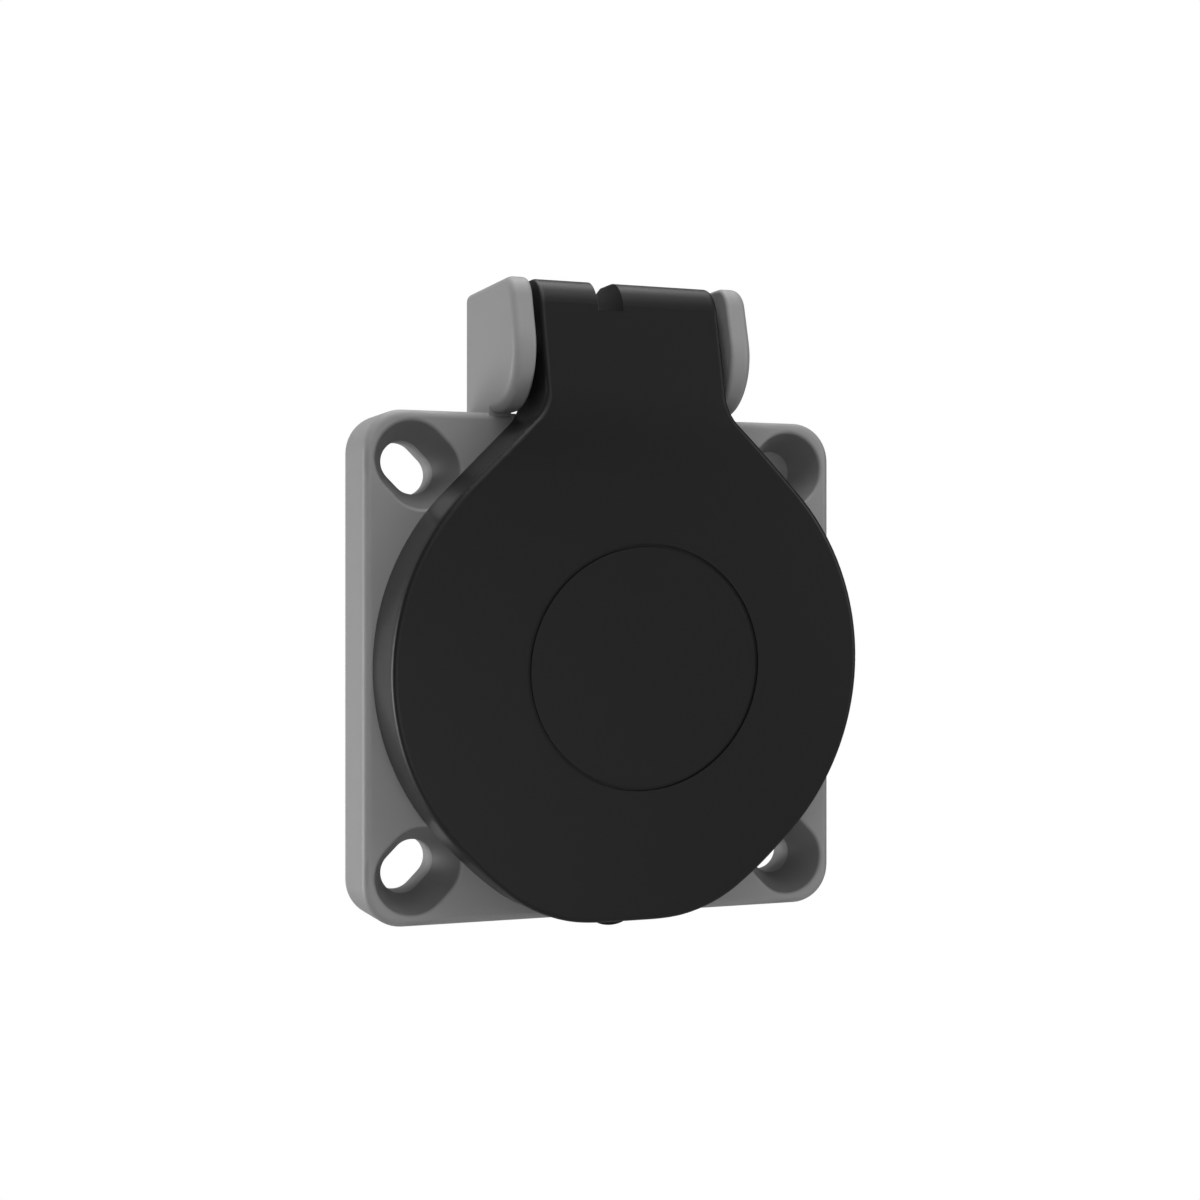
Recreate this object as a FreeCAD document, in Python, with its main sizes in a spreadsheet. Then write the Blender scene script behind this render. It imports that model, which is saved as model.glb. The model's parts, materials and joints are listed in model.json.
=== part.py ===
# Panel mount socket: a two-pole earthed outlet with a 50 mm square flange and a sprung lid.
# X points right, Y into the panel, Z up. The origin is the centre of the flange's rear face,
# so the part's front looks along -Y. Lengths are in millimetres and angles in degrees.
import FreeCAD, Part
import math
import os
import Sketcher
from FreeCAD import Placement, Rotation, Vector

# Driving dimensions: name, value, what it sets
SIZES = (
    ("flange_width", 50.0, "side of the square flange"),
    ("flange_thickness", 7.5, "flange, rear face to front face"),
    ("flange_corner", 3.9, "corner radius of the flange"),
    ("flange_edge", 0.8, "rounding of the flange's front edge"),
    ("slot_inset", 5.35, "centre of a fixing slot, in from the flange's sides"),
    ("slot_width", 4.2, "width of a fixing slot"),
    ("slot_travel", 1.5, "straight length of a fixing slot"),
    ("slot_land", 3.2, "depth of the parallel part of a fixing slot"),
    ("pocket_width", 7.6, "mouth width of a screw head pocket"),
    ("pocket_lip", 0.4, "rounding of a pocket's rim"),
    ("lid_inset", 0.8, "outside of the lid, in from the flange's sides"),
    ("skirt_wall", 2.0, "skirt of the lid"),
    ("skirt_room", 1.0, "gap between the lid's skirt and the collar"),
    ("recess_depth", 17.5, "rim of the collar to the contact face"),
    ("collar_height", 2.5, "collar in front of the flange"),
    ("collar_wall", 1.7, "wall of the collar"),
    ("collar_edge", 0.5, "rounding of the collar's rim"),
    ("barrel_step", 0.55, "outside of the barrel, out from the collar"),
    ("barrel_lead", 0.8, "bevel round the barrel's rear end"),
    ("block_step", 0.5, "seat of the terminal block, out from the recess wall"),
    ("block_seat", 2.0, "depth of the terminal block's seat"),
    ("ledge_width", 1.6, "clamping ledge, in from the recess wall"),
    ("ledge_thickness", 2.0, "clamping ledge"),
    ("guide_width", 5.0, "width of a guide rib in the recess"),
    ("guide_height", 2.3, "height of a guide rib over the recess wall"),
    ("guide_setback", 2.0, "start of a guide rib below the collar's rim"),
    ("channel_width", 5.8, "channel for an earth spring"),
    ("channel_depth", 0.9, "channel for an earth spring, below the recess wall"),
    ("channel_setback", 6.0, "start of the channel below the collar's rim"),
    ("gasket_offset", 0.55, "gasket's groove, out from the barrel"),
    ("gasket_width", 1.7, "width of the gasket's groove"),
    ("gasket_depth", 1.2, "depth of the gasket's groove"),
    ("gasket_fit", 0.05, "gap between the gasket and its groove"),
    ("ear_thickness", 2.25, "one hinge ear"),
    ("ear_rise", 6.2, "top of the ears over the hinge axis"),
    ("ear_nose_ahead", 1.45, "centre of the ear's round nose, ahead of the hinge axis"),
    ("ear_nose_drop", 0.85, "centre of the ear's round nose, below the hinge axis"),
    ("ear_nose_radius", 5.75, "round nose of an ear"),
    ("ear_nose_sink", 0.1, "bottom of an ear's nose below the flange's top edge"),
    ("ear_lean", 15.5, "lean of an ear's front edge"),
    ("ear_corner", 2.6, "upper front corner of an ear"),
    ("ear_foot_setback", 0.15, "ear's foot behind the flange's front face"),
    ("ear_root", 1.0, "depth of an ear's root in the flange"),
    ("ear_outer_edge", 0.9, "rounding of an ear's outer edge"),
    ("ear_inner_edge", 0.4, "rounding of an ear's inner edge"),
    ("pin_ahead", 0.5, "hinge axis in front of the flange's front face"),
    ("pin_diameter", 3.0, "hinge pin"),
    ("pin_blind", 1.4, "depth of the pin's blind seat in the left ear"),
    ("pin_fit", 0.03, "radial clearance of the pin in its bores"),
    ("opening_angle", 110.0, "lid's travel up to its stop"),
    ("stop_slack", 1.0, "angle left at the stop"),
    ("knuckle_width", 18.7, "knuckle and neck of the lid"),
    ("knuckle_play", 0.8, "gap between the knuckle and an ear"),
    ("knuckle_rise", 6.25, "top of the knuckle over the hinge axis"),
    ("knuckle_flat_end", 0.5, "rear end of the knuckle's flat top, behind the hinge axis"),
    ("knuckle_gap", 0.4, "gap between the turning knuckle and the flange's top edge"),
    ("knuckle_brow", 3.4, "rounding of the knuckle's upper front edge"),
    ("heel_bite", 0.5, "reach of the stop heel over the flange's top edge"),
    ("foot_growth", 1.05, "wider arc at the lid's bottom, out from the lid's circle"),
    ("foot_reach", 0.6, "flat at the lid's bottom, below the lid's circle"),
    ("lid_gap", 0.15, "gap between the closed lid and the flange"),
    ("lid_height", 7.45, "lid's front face at the axis, in front of the flange"),
    ("lid_lean", 4.4, "lean of the lid's front face"),
    ("neck_lean", 13.5, "backward lean of the lid's neck"),
    ("knee_drop", 1.5, "where the two front faces meet, below the top of the lid's circle"),
    ("knee_radius", 25.0, "round between the two front faces"),
    ("shoulder_radius", 4.2, "hollow round between neck and shoulder"),
    ("lid_wall", 2.0, "front wall of the lid"),
    ("lid_edge", 0.5, "rounding of the lid's front edge"),
    ("ring_radius", 11.9, "round groove on the lid's front"),
    ("ring_shift", 1.05, "groove's centre beside the lid's centre"),
    ("ring_width", 0.34, "width of the round groove"),
    ("ring_depth", 0.25, "depth of the round groove"),
    ("tab_width", 2.8, "finger tab"),
    ("tab_reach", 1.3, "end of the finger tab, below the lid's flat bottom"),
    ("tab_depth", 2.4, "finger tab along the socket's axis"),
    ("notch_left", 3.46, "left wall of the knuckle's notch"),
    ("notch_width", 2.66, "width of the knuckle's notch"),
    ("notch_rise", 3.1, "floor of the knuckle's notch over the hinge axis"),
    ("hollow_right", 5.2, "right wall of the knuckle's hollow for the spring"),
    ("hollow_room", 0.25, "gap round the spring in its hollow"),
    ("hollow_relief", 1.2, "recess of the neck's rear face under the hollow"),
    ("spring_wire", 0.9, "wire of the lid spring"),
    ("spring_radius", 2.6, "mean radius of the lid spring"),
    ("spring_turns", 4.0, "slanted turns of the lid spring"),
    ("spring_right", 4.1, "right end of the lid spring"),
    ("spring_leg", 5.3, "upper leg of the lid spring"),
    ("spring_rise", 2.3, "rise of the upper leg"),
    ("spring_drop", 32.0, "fall of the lower leg"),
    ("seal_overhang", 0.9, "lid seal, in from the recess wall"),
    ("seal_thickness", 2.0, "lid seal"),
    ("seal_seat", 1.2, "depth of the seal's seat in the lid"),
    ("seal_rib", 0.8, "ribs beside the lid seal"),
    ("seal_fit", 0.1, "gap round the lid seal"),
    ("part_fit", 0.1, "gap between parts that are fitted together"),
    ("pole_pitch", 19.0, "distance between the two contact holes"),
    ("pole_bore", 5.2, "contact hole"),
    ("plug_pin", 4.7, "bore of a contact sleeve"),
    ("sleeve_wall", 0.9, "wall of a contact sleeve"),
    ("sleeve_length", 9.4, "contact sleeve"),
    ("sleeve_setback", 0.5, "front of a contact sleeve behind the terminal block's front"),
    ("sleeve_slot", 0.6, "slot in a contact sleeve"),
    ("sleeve_root", 2.35, "unslotted rear of a contact sleeve"),
    ("plate_thickness", 2.5, "contact face plate"),
    ("spring_notch_depth", 1.3, "notches of the plate for the earth springs, in from the recess wall"),
    ("carrier_wall", 1.6, "walls behind the contact face"),
    ("block_margin", 4.7, "side of the terminal block, out from a contact hole's axis"),
    ("block_cover", 6.4, "top of the terminal block over the terminals"),
    ("block_bottom", 6.5, "bottom of the terminal block below the axis"),
    ("block_corner", 3.0, "upright edges of the terminal block"),
    ("chamber_room", 0.2, "gap round a sleeve's clip in its chamber"),
    ("chamber_floor", 1.6, "rear wall behind a sleeve"),
    ("chamber_wall", 3.0, "rear wall behind a clamp"),
    ("terminal_height", 9.0, "terminals over the axis"),
    ("terminal_side", 6.4, "side of a terminal clamp"),
    ("terminal_length", 10.0, "length of a terminal clamp"),
    ("terminal_setback", 0.5, "front of a terminal clamp behind the barrel's end"),
    ("terminal_slack", 1.5, "room behind a terminal clamp"),
    ("terminal_gap", 0.3, "gap round a terminal clamp in its chamber"),
    ("terminal_edge", 0.6, "rounding of a clamp's long edges"),
    ("wire_bore", 3.8, "wire hole of a clamp"),
    ("wire_entry", 4.4, "wire hole of the terminal block"),
    ("web_thickness", 1.2, "web between sleeve and clamp"),
    ("screw_head", 5.4, "head of a terminal screw"),
    ("screw_head_height", 1.8, "height of a terminal screw's head"),
    ("screw_shank", 3.0, "shank of a terminal screw"),
    ("screw_length", 2.9, "terminal screw under its head"),
    ("screw_tip_rise", 1.3, "tip of a terminal screw over the wire's axis"),
    ("screw_play", 0.3, "gap round a terminal screw's head in its access hole"),
    ("screw_slot", 0.8, "driver slot"),
    ("leaf_thickness", 0.4, "wire leaf in a clamp"),
    ("leaf_play", 0.6, "side of a wire leaf, in from the clamp's bore"),
    ("leaf_lip", 1.3, "upturned lip of a wire leaf"),
    ("clip_thickness", 0.4, "spring clip round a sleeve"),
    ("clip_width", 3.0, "width of a sleeve clip"),
    ("clip_gap", 2.0, "opening of a sleeve clip"),
    ("strap_width", 5.0, "earth strap"),
    ("strap_thickness", 0.8, "earth strap"),
    ("strap_seat", 0.15, "gap between the strap and its channel"),
    ("strap_bend", 1.3, "bend radius of the strap's centre line"),
    ("strap_side", 4.0, "straight side of an earth spring in its channel"),
    ("strap_lean", 26.0, "inward lean of an earth spring"),
    ("strap_blade", 7.2, "leaning blade of an earth spring"),
    ("strap_turn", 67.0, "bend at the crest of an earth spring"),
    ("strap_tip", 3.2, "tip of an earth spring after its crest"),
    ("strap_eye", 3.6, "eye of the strap round the centre screw"),
    ("centre_shank", 3.5, "shank of the centre screw"),
    ("centre_head", 6.6, "head of the centre screw"),
    ("centre_play", 0.15, "gap round the centre screw in its holes"),
    ("nut_width", 5.5, "centre nut across its flats"),
    ("nut_height", 2.4, "centre nut"),
    ("head_sink", 0.25, "centre screw's head below the contact face"),
    ("driver_cross", 3.8, "cross recess of the centre screw"),
    ("driver_depth", 1.1, "depth of the cross recess"),
)

# Sizes and places that follow from the table, in the order in which they build on each other.
# Places along the socket's axis are Y values: the front is negative.
FOLLOWING = (
    ("flange_half", lambda s: s.flange_width / 2, "flange, centre to side"),
    ("slot_place", lambda s: s.flange_half - s.slot_inset, "centre of a fixing slot, across and up"),
    ("lid_radius", lambda s: s.flange_half - s.lid_inset, "outside of the lid"),
    ("skirt_radius", lambda s: s.lid_radius - s.skirt_wall, "inside of the lid's skirt"),
    ("collar_radius", lambda s: s.skirt_radius - s.skirt_room, "outside of the collar"),
    ("recess_radius", lambda s: s.collar_radius - s.collar_wall, "plug recess"),
    ("barrel_radius", lambda s: s.collar_radius + s.barrel_step, "outside of the barrel"),
    ("block_radius", lambda s: s.recess_radius + s.block_step, "seat of the terminal block"),
    ("ledge_radius", lambda s: s.recess_radius - s.ledge_width, "opening of the clamping ledge"),
    ("gasket_inner", lambda s: s.barrel_radius + s.gasket_offset, "inner radius of the gasket's groove"),
    ("gasket_outer", lambda s: s.gasket_inner + s.gasket_width, "outer radius of the gasket's groove"),
    ("guide_reach", lambda s: s.recess_radius - s.guide_height, "face of a guide rib"),
    ("channel_radius", lambda s: s.recess_radius + s.channel_depth, "floor of an earth channel"),
    ("spring_notch", lambda s: s.recess_radius - s.spring_notch_depth, "notches for the earth springs"),
    ("seal_inner", lambda s: s.recess_radius - s.seal_overhang, "inner radius of the lid seal"),
    ("seal_outer", lambda s: s.collar_radius - s.seal_fit, "outer radius of the lid seal"),
    ("flange_front", lambda s: -s.flange_thickness, "front face of the flange"),
    ("collar_front", lambda s: s.flange_front - s.collar_height, "rim of the collar"),
    ("contact_face", lambda s: s.collar_front + s.recess_depth, "contact face"),
    ("ledge_front", lambda s: s.contact_face + s.plate_thickness, "front of the clamping ledge"),
    ("ledge_rear", lambda s: s.ledge_front + s.ledge_thickness, "rear of the clamping ledge"),
    ("block_front", lambda s: s.ledge_rear + s.part_fit, "front of the terminal block"),
    ("barrel_end", lambda s: s.ledge_rear + s.block_seat, "rear end of the barrel"),
    ("lid_rear", lambda s: s.flange_front - s.lid_gap, "rear of the closed lid"),
    ("lid_face", lambda s: s.flange_front - s.lid_height, "lid's front face at the axis"),
    ("seal_front", lambda s: s.collar_front - s.seal_fit - s.seal_thickness, "front of the lid seal"),
    ("pin_place", lambda s: s.flange_front - s.pin_ahead, "hinge axis along the socket's axis"),
    ("ear_nose_low", lambda s: s.flange_half - s.ear_nose_sink, "bottom of an ear's nose"),
    ("ear_nose_height", lambda s: s.ear_nose_low + s.ear_nose_radius, "centre of an ear's nose"),
    ("pin_height", lambda s: s.ear_nose_height + s.ear_nose_drop, "hinge axis over the socket's axis"),
    ("pin_rise", lambda s: s.pin_height - s.flange_half, "hinge axis over the flange's top edge"),
    ("pin_bore", lambda s: s.pin_diameter / 2 + s.pin_fit, "radius of the hinge pin's bores"),
    ("ear_inner", lambda s: s.knuckle_width / 2 + s.knuckle_play, "inner face of an ear"),
    ("ear_outer", lambda s: s.ear_inner + s.ear_thickness, "outer face of an ear"),
    ("ear_top", lambda s: s.pin_height + s.ear_rise, "top of the ears"),
    ("knuckle_top", lambda s: s.pin_height + s.knuckle_rise, "top of the knuckle"),
    ("knuckle_radius", lambda s: s.pin_rise - s.knuckle_gap, "rear of the knuckle about the hinge axis"),
    ("heel_radius", lambda s: s.pin_rise + s.heel_bite, "stop heel about the hinge axis"),
    ("knee_height", lambda s: s.lid_radius - s.knee_drop, "where the two front faces meet"),
    ("foot_radius", lambda s: s.lid_radius + s.foot_growth, "wider arc at the lid's bottom"),
    ("foot_drop", lambda s: s.lid_radius + s.foot_reach, "flat at the lid's bottom"),
    ("tab_drop", lambda s: s.foot_drop + s.tab_reach, "end of the finger tab"),
    ("notch_floor", lambda s: s.pin_height + s.notch_rise, "floor of the knuckle's notch"),
    ("notch_right", lambda s: s.notch_width - s.notch_left, "right wall of the knuckle's notch"),
    ("coil_outer", lambda s: s.spring_radius + s.spring_wire / 2, "outside of the lid spring"),
    ("hollow_radius", lambda s: s.coil_outer + s.hollow_room, "hollow for the spring"),
    ("spring_left", lambda s: s.notch_width / 2 - s.notch_left, "left end of the lid spring"),
    ("pole", lambda s: s.pole_pitch / 2, "axis of a contact hole, and of a terminal beside the middle"),
    ("sleeve_radius", lambda s: s.plug_pin / 2 + s.sleeve_wall, "outside of a contact sleeve"),
    ("sleeve_front", lambda s: s.block_front + s.sleeve_setback, "front of a contact sleeve"),
    ("sleeve_rear", lambda s: s.sleeve_front + s.sleeve_length, "rear of a contact sleeve"),
    ("clip_inner", lambda s: s.sleeve_radius + s.part_fit, "inside of a sleeve's clip"),
    ("clip_outer", lambda s: s.clip_inner + s.clip_thickness, "outside of a sleeve's clip"),
    ("chamber_radius", lambda s: s.clip_outer + s.chamber_room, "chamber of a contact sleeve"),
    ("terminal_front", lambda s: s.barrel_end + s.terminal_setback, "front of a terminal clamp"),
    ("terminal_rear", lambda s: s.terminal_front + s.terminal_length, "rear of a terminal clamp"),
    ("chamber_rear", lambda s: s.terminal_rear + s.terminal_slack, "rear of a clamp's chamber"),
    ("block_end", lambda s: s.chamber_rear + s.chamber_wall, "rear end of the terminal block"),
    ("chamber_end", lambda s: s.block_end - s.chamber_floor, "rear of a sleeve's chamber"),
    ("block_side", lambda s: s.pole + s.block_margin, "side of the terminal block"),
    ("block_top", lambda s: s.terminal_height + s.block_cover, "top of the terminal block"),
    ("screw_place", lambda s: s.terminal_front + s.terminal_length / 2, "terminal screws"),
    ("screw_tip", lambda s: s.terminal_height + s.screw_tip_rise, "tip of a terminal screw"),
    ("strap_inset", lambda s: s.strap_seat + s.strap_thickness / 2, "middle of the strap over its channel"),
    ("strap_radius", lambda s: s.channel_radius - s.strap_inset, "side of an earth spring"),
    ("strap_plane", lambda s: s.block_front + s.strap_inset, "middle of the strap behind the contact face"),
    ("strap_room", lambda s: s.block_front + s.strap_thickness + s.strap_seat * 2, "strap's channel"),
    ("centre_hole", lambda s: s.centre_shank / 2 + s.centre_play, "radius of the centre screw's holes"),
)


class Size:
    """A number together with the expression over the sheet that gives it."""

    def __init__(self, value, text):
        self.value = value
        self.text = text

    def __add__(self, other):
        other = as_size(other)
        return Size(self.value + other.value, f"({self.text} + {other.text})")

    def __sub__(self, other):
        other = as_size(other)
        return Size(self.value - other.value, f"({self.text} - {other.text})")

    def __mul__(self, other):
        other = as_size(other)
        return Size(self.value * other.value, f"{self.text} * {other.text}")

    def __truediv__(self, other):
        other = as_size(other)
        return Size(self.value / other.value, f"{self.text} / ({other.text})")

    def __radd__(self, other):
        return as_size(other) + self

    def __rsub__(self, other):
        return as_size(other) - self

    def __rmul__(self, other):
        return as_size(other) * self

    def __neg__(self):
        return Size(-self.value, f"(0 - {self.text})")


def as_size(value):
    return value if isinstance(value, Size) else Size(float(value), repr(float(value)))


def root(size):
    return Size(math.sqrt(size.value), f"sqrt({size.text})")


def sine(angle):
    return Size(math.sin(math.radians(angle.value)), f"sin({angle.text})")


def cosine(angle):
    return Size(math.cos(math.radians(angle.value)), f"cos({angle.text})")


def tangent(angle):
    return Size(math.tan(math.radians(angle.value)), f"tan({angle.text})")


def arc_cosine(ratio):
    # The sheet's result is an angle; divided by one degree it is a plain number again
    return Size(math.degrees(math.acos(ratio.value)), f"(acos({ratio.text}) / 1 deg)")


class Sheet:
    """The sheet's dimensions as attributes, each one a Size."""

    def __init__(self, doc):
        self.cells = doc.addObject("Spreadsheet::Sheet", "Sizes")
        for row, (name, value, note) in enumerate(SIZES, start=1):
            self.add(row, name, value, str(value), note)
        for row, (name, rule, note) in enumerate(FOLLOWING, start=len(SIZES) + 1):
            size = rule(self)
            self.add(row, name, size.value, "=" + size.text.replace("Sizes.", ""), note)

    def add(self, row, name, value, content, note):
        self.cells.set(f"A{row}", note)
        self.cells.set(f"B{row}", content)
        self.cells.setAlias(f"B{row}", name)
        setattr(self, name, Size(value, f"Sizes.{name}"))

    def read(self, name):
        return float(self.cells.get(name))


def bind(thing, path, size):
    thing.setExpression(path, as_size(size).text)


# Sketches. XY looks down from above, XZ is seen from the front, YZ from the right side.

def new_body(doc, name):
    body = doc.addObject("PartDesign::Body", name)
    body.Label = name
    body.Placement = Placement()
    return body


def origin_feature(body, role):
    return next(item for item in body.Origin.OriginFeatures if item.Role == role)


def new_sketch(body, plane, name, lift=0.0, turn=None):
    """A sketch on an origin plane, lifted along its normal and turned about its own X axis."""
    sketch = body.newObject("Sketcher::SketchObject", name)
    sketch.AttachmentSupport = [(origin_feature(body, plane + "_Plane"), "")]
    sketch.MapMode = "FlatFace"
    if turn is not None:
        sketch.AttachmentOffset = Placement(Vector(), Rotation(Vector(1, 0, 0), turn.value))
        bind(sketch, "AttachmentOffset.Rotation.Angle", turn)
    bind(sketch, "AttachmentOffset.Base.z", lift)
    return sketch


def place_point(sketch, index, which, x, y):
    for kind, size in (("DistanceX", as_size(x)), ("DistanceY", as_size(y))):
        row = sketch.addConstraint(Sketcher.Constraint(kind, index, which, size.value))
        bind(sketch, f"Constraints[{row}]", size)


def draw_circle(sketch, radius, x=0.0, y=0.0):
    x, y, radius = as_size(x), as_size(y), as_size(radius)
    circle = Part.Circle(Vector(x.value, y.value, 0), Vector(0, 0, 1), radius.value)
    index = sketch.addGeometry(circle)
    place_point(sketch, index, 3, x, y)
    row = sketch.addConstraint(Sketcher.Constraint("Radius", index, radius.value))
    bind(sketch, f"Constraints[{row}]", radius)


def arc_between(start, end, centre, turn):
    """An arc from start to end about centre, anticlockwise for a turn of 1, clockwise for -1."""
    first = math.atan2(start.y - centre.y, start.x - centre.x)
    last = math.atan2(end.y - centre.y, end.x - centre.x)
    if turn < 0:
        first, last = last, first
    circle = Part.Circle(centre, Vector(0, 0, 1), (start - centre).Length)
    return Part.ArcOfCircle(circle, first, last if last > first else last + 2 * math.pi)


def draw_outline(sketch, steps):
    """A closed outline. A step is (x, y) for a line to that point, or
    (x, y, centre x, centre y, turn) for an arc to it. It starts at the last step's point."""
    points = [Vector(as_size(step[0]).value, as_size(step[1]).value, 0) for step in steps]
    entry_ends = []
    for number, step in enumerate(steps):
        start, end = points[number - 1], points[number]
        if len(step) == 2:
            index = sketch.addGeometry(Part.LineSegment(start, end))
            entry_ends.append((index, 1, 2))
            continue
        centre = Vector(as_size(step[2]).value, as_size(step[3]).value, 0)
        index = sketch.addGeometry(arc_between(start, end, centre, step[4]))
        entry_ends.append((index, 1, 2) if step[4] > 0 else (index, 2, 1))
        across = end - start
        kind, size = ("DistanceY", step[3]) if abs(across.x) > abs(across.y) else ("DistanceX", step[2])
        row = sketch.addConstraint(Sketcher.Constraint(kind, index, 3, as_size(size).value))
        bind(sketch, f"Constraints[{row}]", size)
    for number, (index, first, last) in enumerate(entry_ends):
        before, _, before_last = entry_ends[number - 1]
        sketch.addConstraint(Sketcher.Constraint("Coincident", before, before_last, index, first))
        place_point(sketch, index, last, steps[number][0], steps[number][1])


def draw_box(sketch, left, low, right, high):
    draw_outline(sketch, [(left, low), (right, low), (right, high), (left, high)])


def draw_round_box(sketch, left, low, right, high, radius):
    """A box whose corners are arcs, and whose flat sides are what is left between them."""
    inner_left, inner_right = left + radius, right - radius
    inner_low, inner_high = low + radius, high - radius
    draw_outline(sketch, [
        (inner_right, low),
        (right, inner_low, inner_right, inner_low, 1),
        (right, inner_high),
        (inner_right, high, inner_right, inner_high, 1),
        (inner_left, high),
        (left, inner_high, inner_left, inner_high, 1),
        (left, inner_low),
        (inner_left, low, inner_left, inner_low, 1),
    ])


def draw_slot(sketch, x, y, half_travel, radius, angle):
    """A slot with round ends whose centres lie half_travel from (x, y) along the angle."""
    along = (cosine(angle), sine(angle))
    across = (-along[1], along[0])

    def corner(end, side):
        return [centre + along[axis] * half_travel * end + across[axis] * radius * side
                for axis, centre in enumerate((x, y))]

    def middle(end):
        return [centre + along[axis] * half_travel * end for axis, centre in enumerate((x, y))]

    draw_outline(sketch, [
        (*corner(1, -1),),
        (*corner(1, 1), *middle(1), 1),
        (*corner(-1, 1),),
        (*corner(-1, -1), *middle(-1), 1),
    ])


def walk(place, angle, along, aside):
    """The point reached from a place by steps along a heading and to its left."""
    return (place[0] + cosine(angle) * along - sine(angle) * aside,
            place[1] + sine(angle) * along + cosine(angle) * aside)


def strip_outline(place, heading, moves, half):
    """Outline of a bent strip. A move is (length,) or (radius, angle); positive angles turn left."""
    ahead = [walk(place, heading, 0, -half)]
    back = [walk(place, heading, 0, half)]
    for move in moves:
        middle = ()
        side = 0
        if len(move) == 1:
            place = walk(place, heading, move[0], 0)
        else:
            side = 1 if as_size(move[1]).value > 0 else -1
            middle = walk(place, heading, 0, move[0] * side)
            heading = heading + move[1]
            place = walk(middle, heading, 0, move[0] * -side)
        turn = (*middle, side) if side else ()
        turn_back = (*middle, -side) if side else ()
        ahead.append((*walk(place, heading, 0, -half), *turn))
        back[-1] = (*back[-1][:2], *turn_back)
        back.append(walk(place, heading, 0, half))
    return ahead + back[::-1]


# Features

def add_pad(body, sketch, length, name, both_ways=False, back=False):
    pad = body.newObject("PartDesign::Pad", name)
    pad.Profile = sketch
    pad.SideType = "Symmetric" if both_ways else "One side"
    pad.Reversed = back
    bind(pad, "Length", length)
    sketch.Visibility = False
    return pad


def add_pocket(body, sketch, name, length=None, both_ways=False, forward=False, taper=None):
    """A cut against the sketch's normal, or along it; through everything without a length."""
    pocket = body.newObject("PartDesign::Pocket", name)
    pocket.Profile = sketch
    pocket.SideType = "Symmetric" if both_ways else "One side"
    pocket.Reversed = forward
    if length is None:
        pocket.Type = "ThroughAll"
    else:
        bind(pocket, "Length", length)
    if taper is not None:
        bind(pocket, "TaperAngle", taper)
    sketch.Visibility = False
    return pocket


def add_pattern(body, features, count, name):
    """The features repeated all round the socket's axis."""
    pattern = body.newObject("PartDesign::PolarPattern", name)
    pattern.Originals = features
    pattern.Axis = (origin_feature(body, "Y_Axis"), [""])
    pattern.Angle = 360
    pattern.Occurrences = count
    body.Tip = pattern
    return pattern


def wanted_edges(body, base, wanted):
    body.Document.recompute()
    return [f"Edge{number}" for number, edge in enumerate(base.Shape.Edges, start=1) if wanted(edge)]


def add_fillet(body, base, radius, wanted, name):
    """Round the edges of the base that wanted picks."""
    names = wanted_edges(body, base, wanted)
    fillet = body.newObject("PartDesign::Fillet", name)
    fillet.Base = (base, names)
    bind(fillet, "Radius", radius)
    body.Tip = fillet
    return fillet


def add_bevel(body, base, size, wanted, name):
    """Bevel the edges of the base that wanted picks, alike on both sides."""
    names = wanted_edges(body, base, wanted)
    bevel = body.newObject("PartDesign::Chamfer", name)
    bevel.Base = (base, names)
    bind(bevel, "Size", size)
    body.Tip = bevel
    return bevel


def edge_within(edge, low, high):
    """Whether the whole edge lies in the box between two corners; None leaves a side open."""
    box = edge.BoundBox
    spans = ((box.XMin, box.XMax), (box.YMin, box.YMax), (box.ZMin, box.ZMax))
    slack = 0.01
    return all((least is None or span[0] >= least - slack) and (most is None or span[1] <= most + slack)
               for span, least, most in zip(spans, low, high))


def ring_body(doc, name, inner, outer, front, thickness):
    """A flat ring on the socket's axis that reaches back from the plane Y = front."""
    body = new_body(doc, name)
    sketch = new_sketch(body, "XZ", f"{name}_section", -front)
    draw_circle(sketch, inner)
    draw_circle(sketch, outer)
    add_pad(body, sketch, thickness, f"{name}_ring", back=True)
    return body


# Housing

def ear_outline(s):
    """Side view of an ear: its root in the flange, flat top, leaning front and round nose."""
    nose = (s.pin_place - s.ear_nose_ahead, s.ear_nose_height)
    normal = (-cosine(s.ear_lean), sine(s.ear_lean))
    nose_top = [nose[axis] + normal[axis] * s.ear_nose_radius for axis in (0, 1)]
    corner_height = s.ear_top - s.ear_corner
    corner_reach = ((s.ear_nose_radius - s.ear_corner) - (corner_height - nose[1]) * normal[1]) / normal[0]
    corner = (nose[0] + corner_reach, corner_height)
    corner_end = [corner[axis] + normal[axis] * s.ear_corner for axis in (0, 1)]
    foot = s.flange_front + s.ear_foot_setback
    bottom = s.flange_half - s.ear_root
    return [
        (0, bottom),
        (0, s.ear_top),
        (corner[0], s.ear_top),
        (*corner_end, *corner, 1),
        (*nose_top,),
        (nose[0], s.ear_nose_low, *nose, 1),
        (foot, s.ear_nose_low),
        (foot, bottom),
    ]


def make_flange(body, s):
    half = s.flange_half
    plate = new_sketch(body, "XZ", "flange_outline")
    draw_box(plate, -half, -half, half, half)
    pad = add_pad(body, plate, s.flange_thickness, "flange")
    corners = add_fillet(body, pad, s.flange_corner,
                         lambda edge: edge.BoundBox.YLength > s.flange_thickness.value / 2, "flange_corners")
    front = s.flange_front.value
    return add_fillet(body, corners, s.flange_edge,
                      lambda edge: edge_within(edge, (None, front, None), (None, front, None)), "flange_rim")


def make_tubes(body, s):
    collar = new_sketch(body, "XZ", "collar_outline")
    draw_circle(collar, s.collar_radius)
    add_pad(body, collar, s.flange_thickness + s.collar_height, "collar")
    barrel = new_sketch(body, "XZ", "barrel_outline", -s.barrel_end)
    draw_circle(barrel, s.barrel_radius)
    add_pad(body, barrel, s.barrel_end + s.gasket_depth, "barrel")


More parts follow.
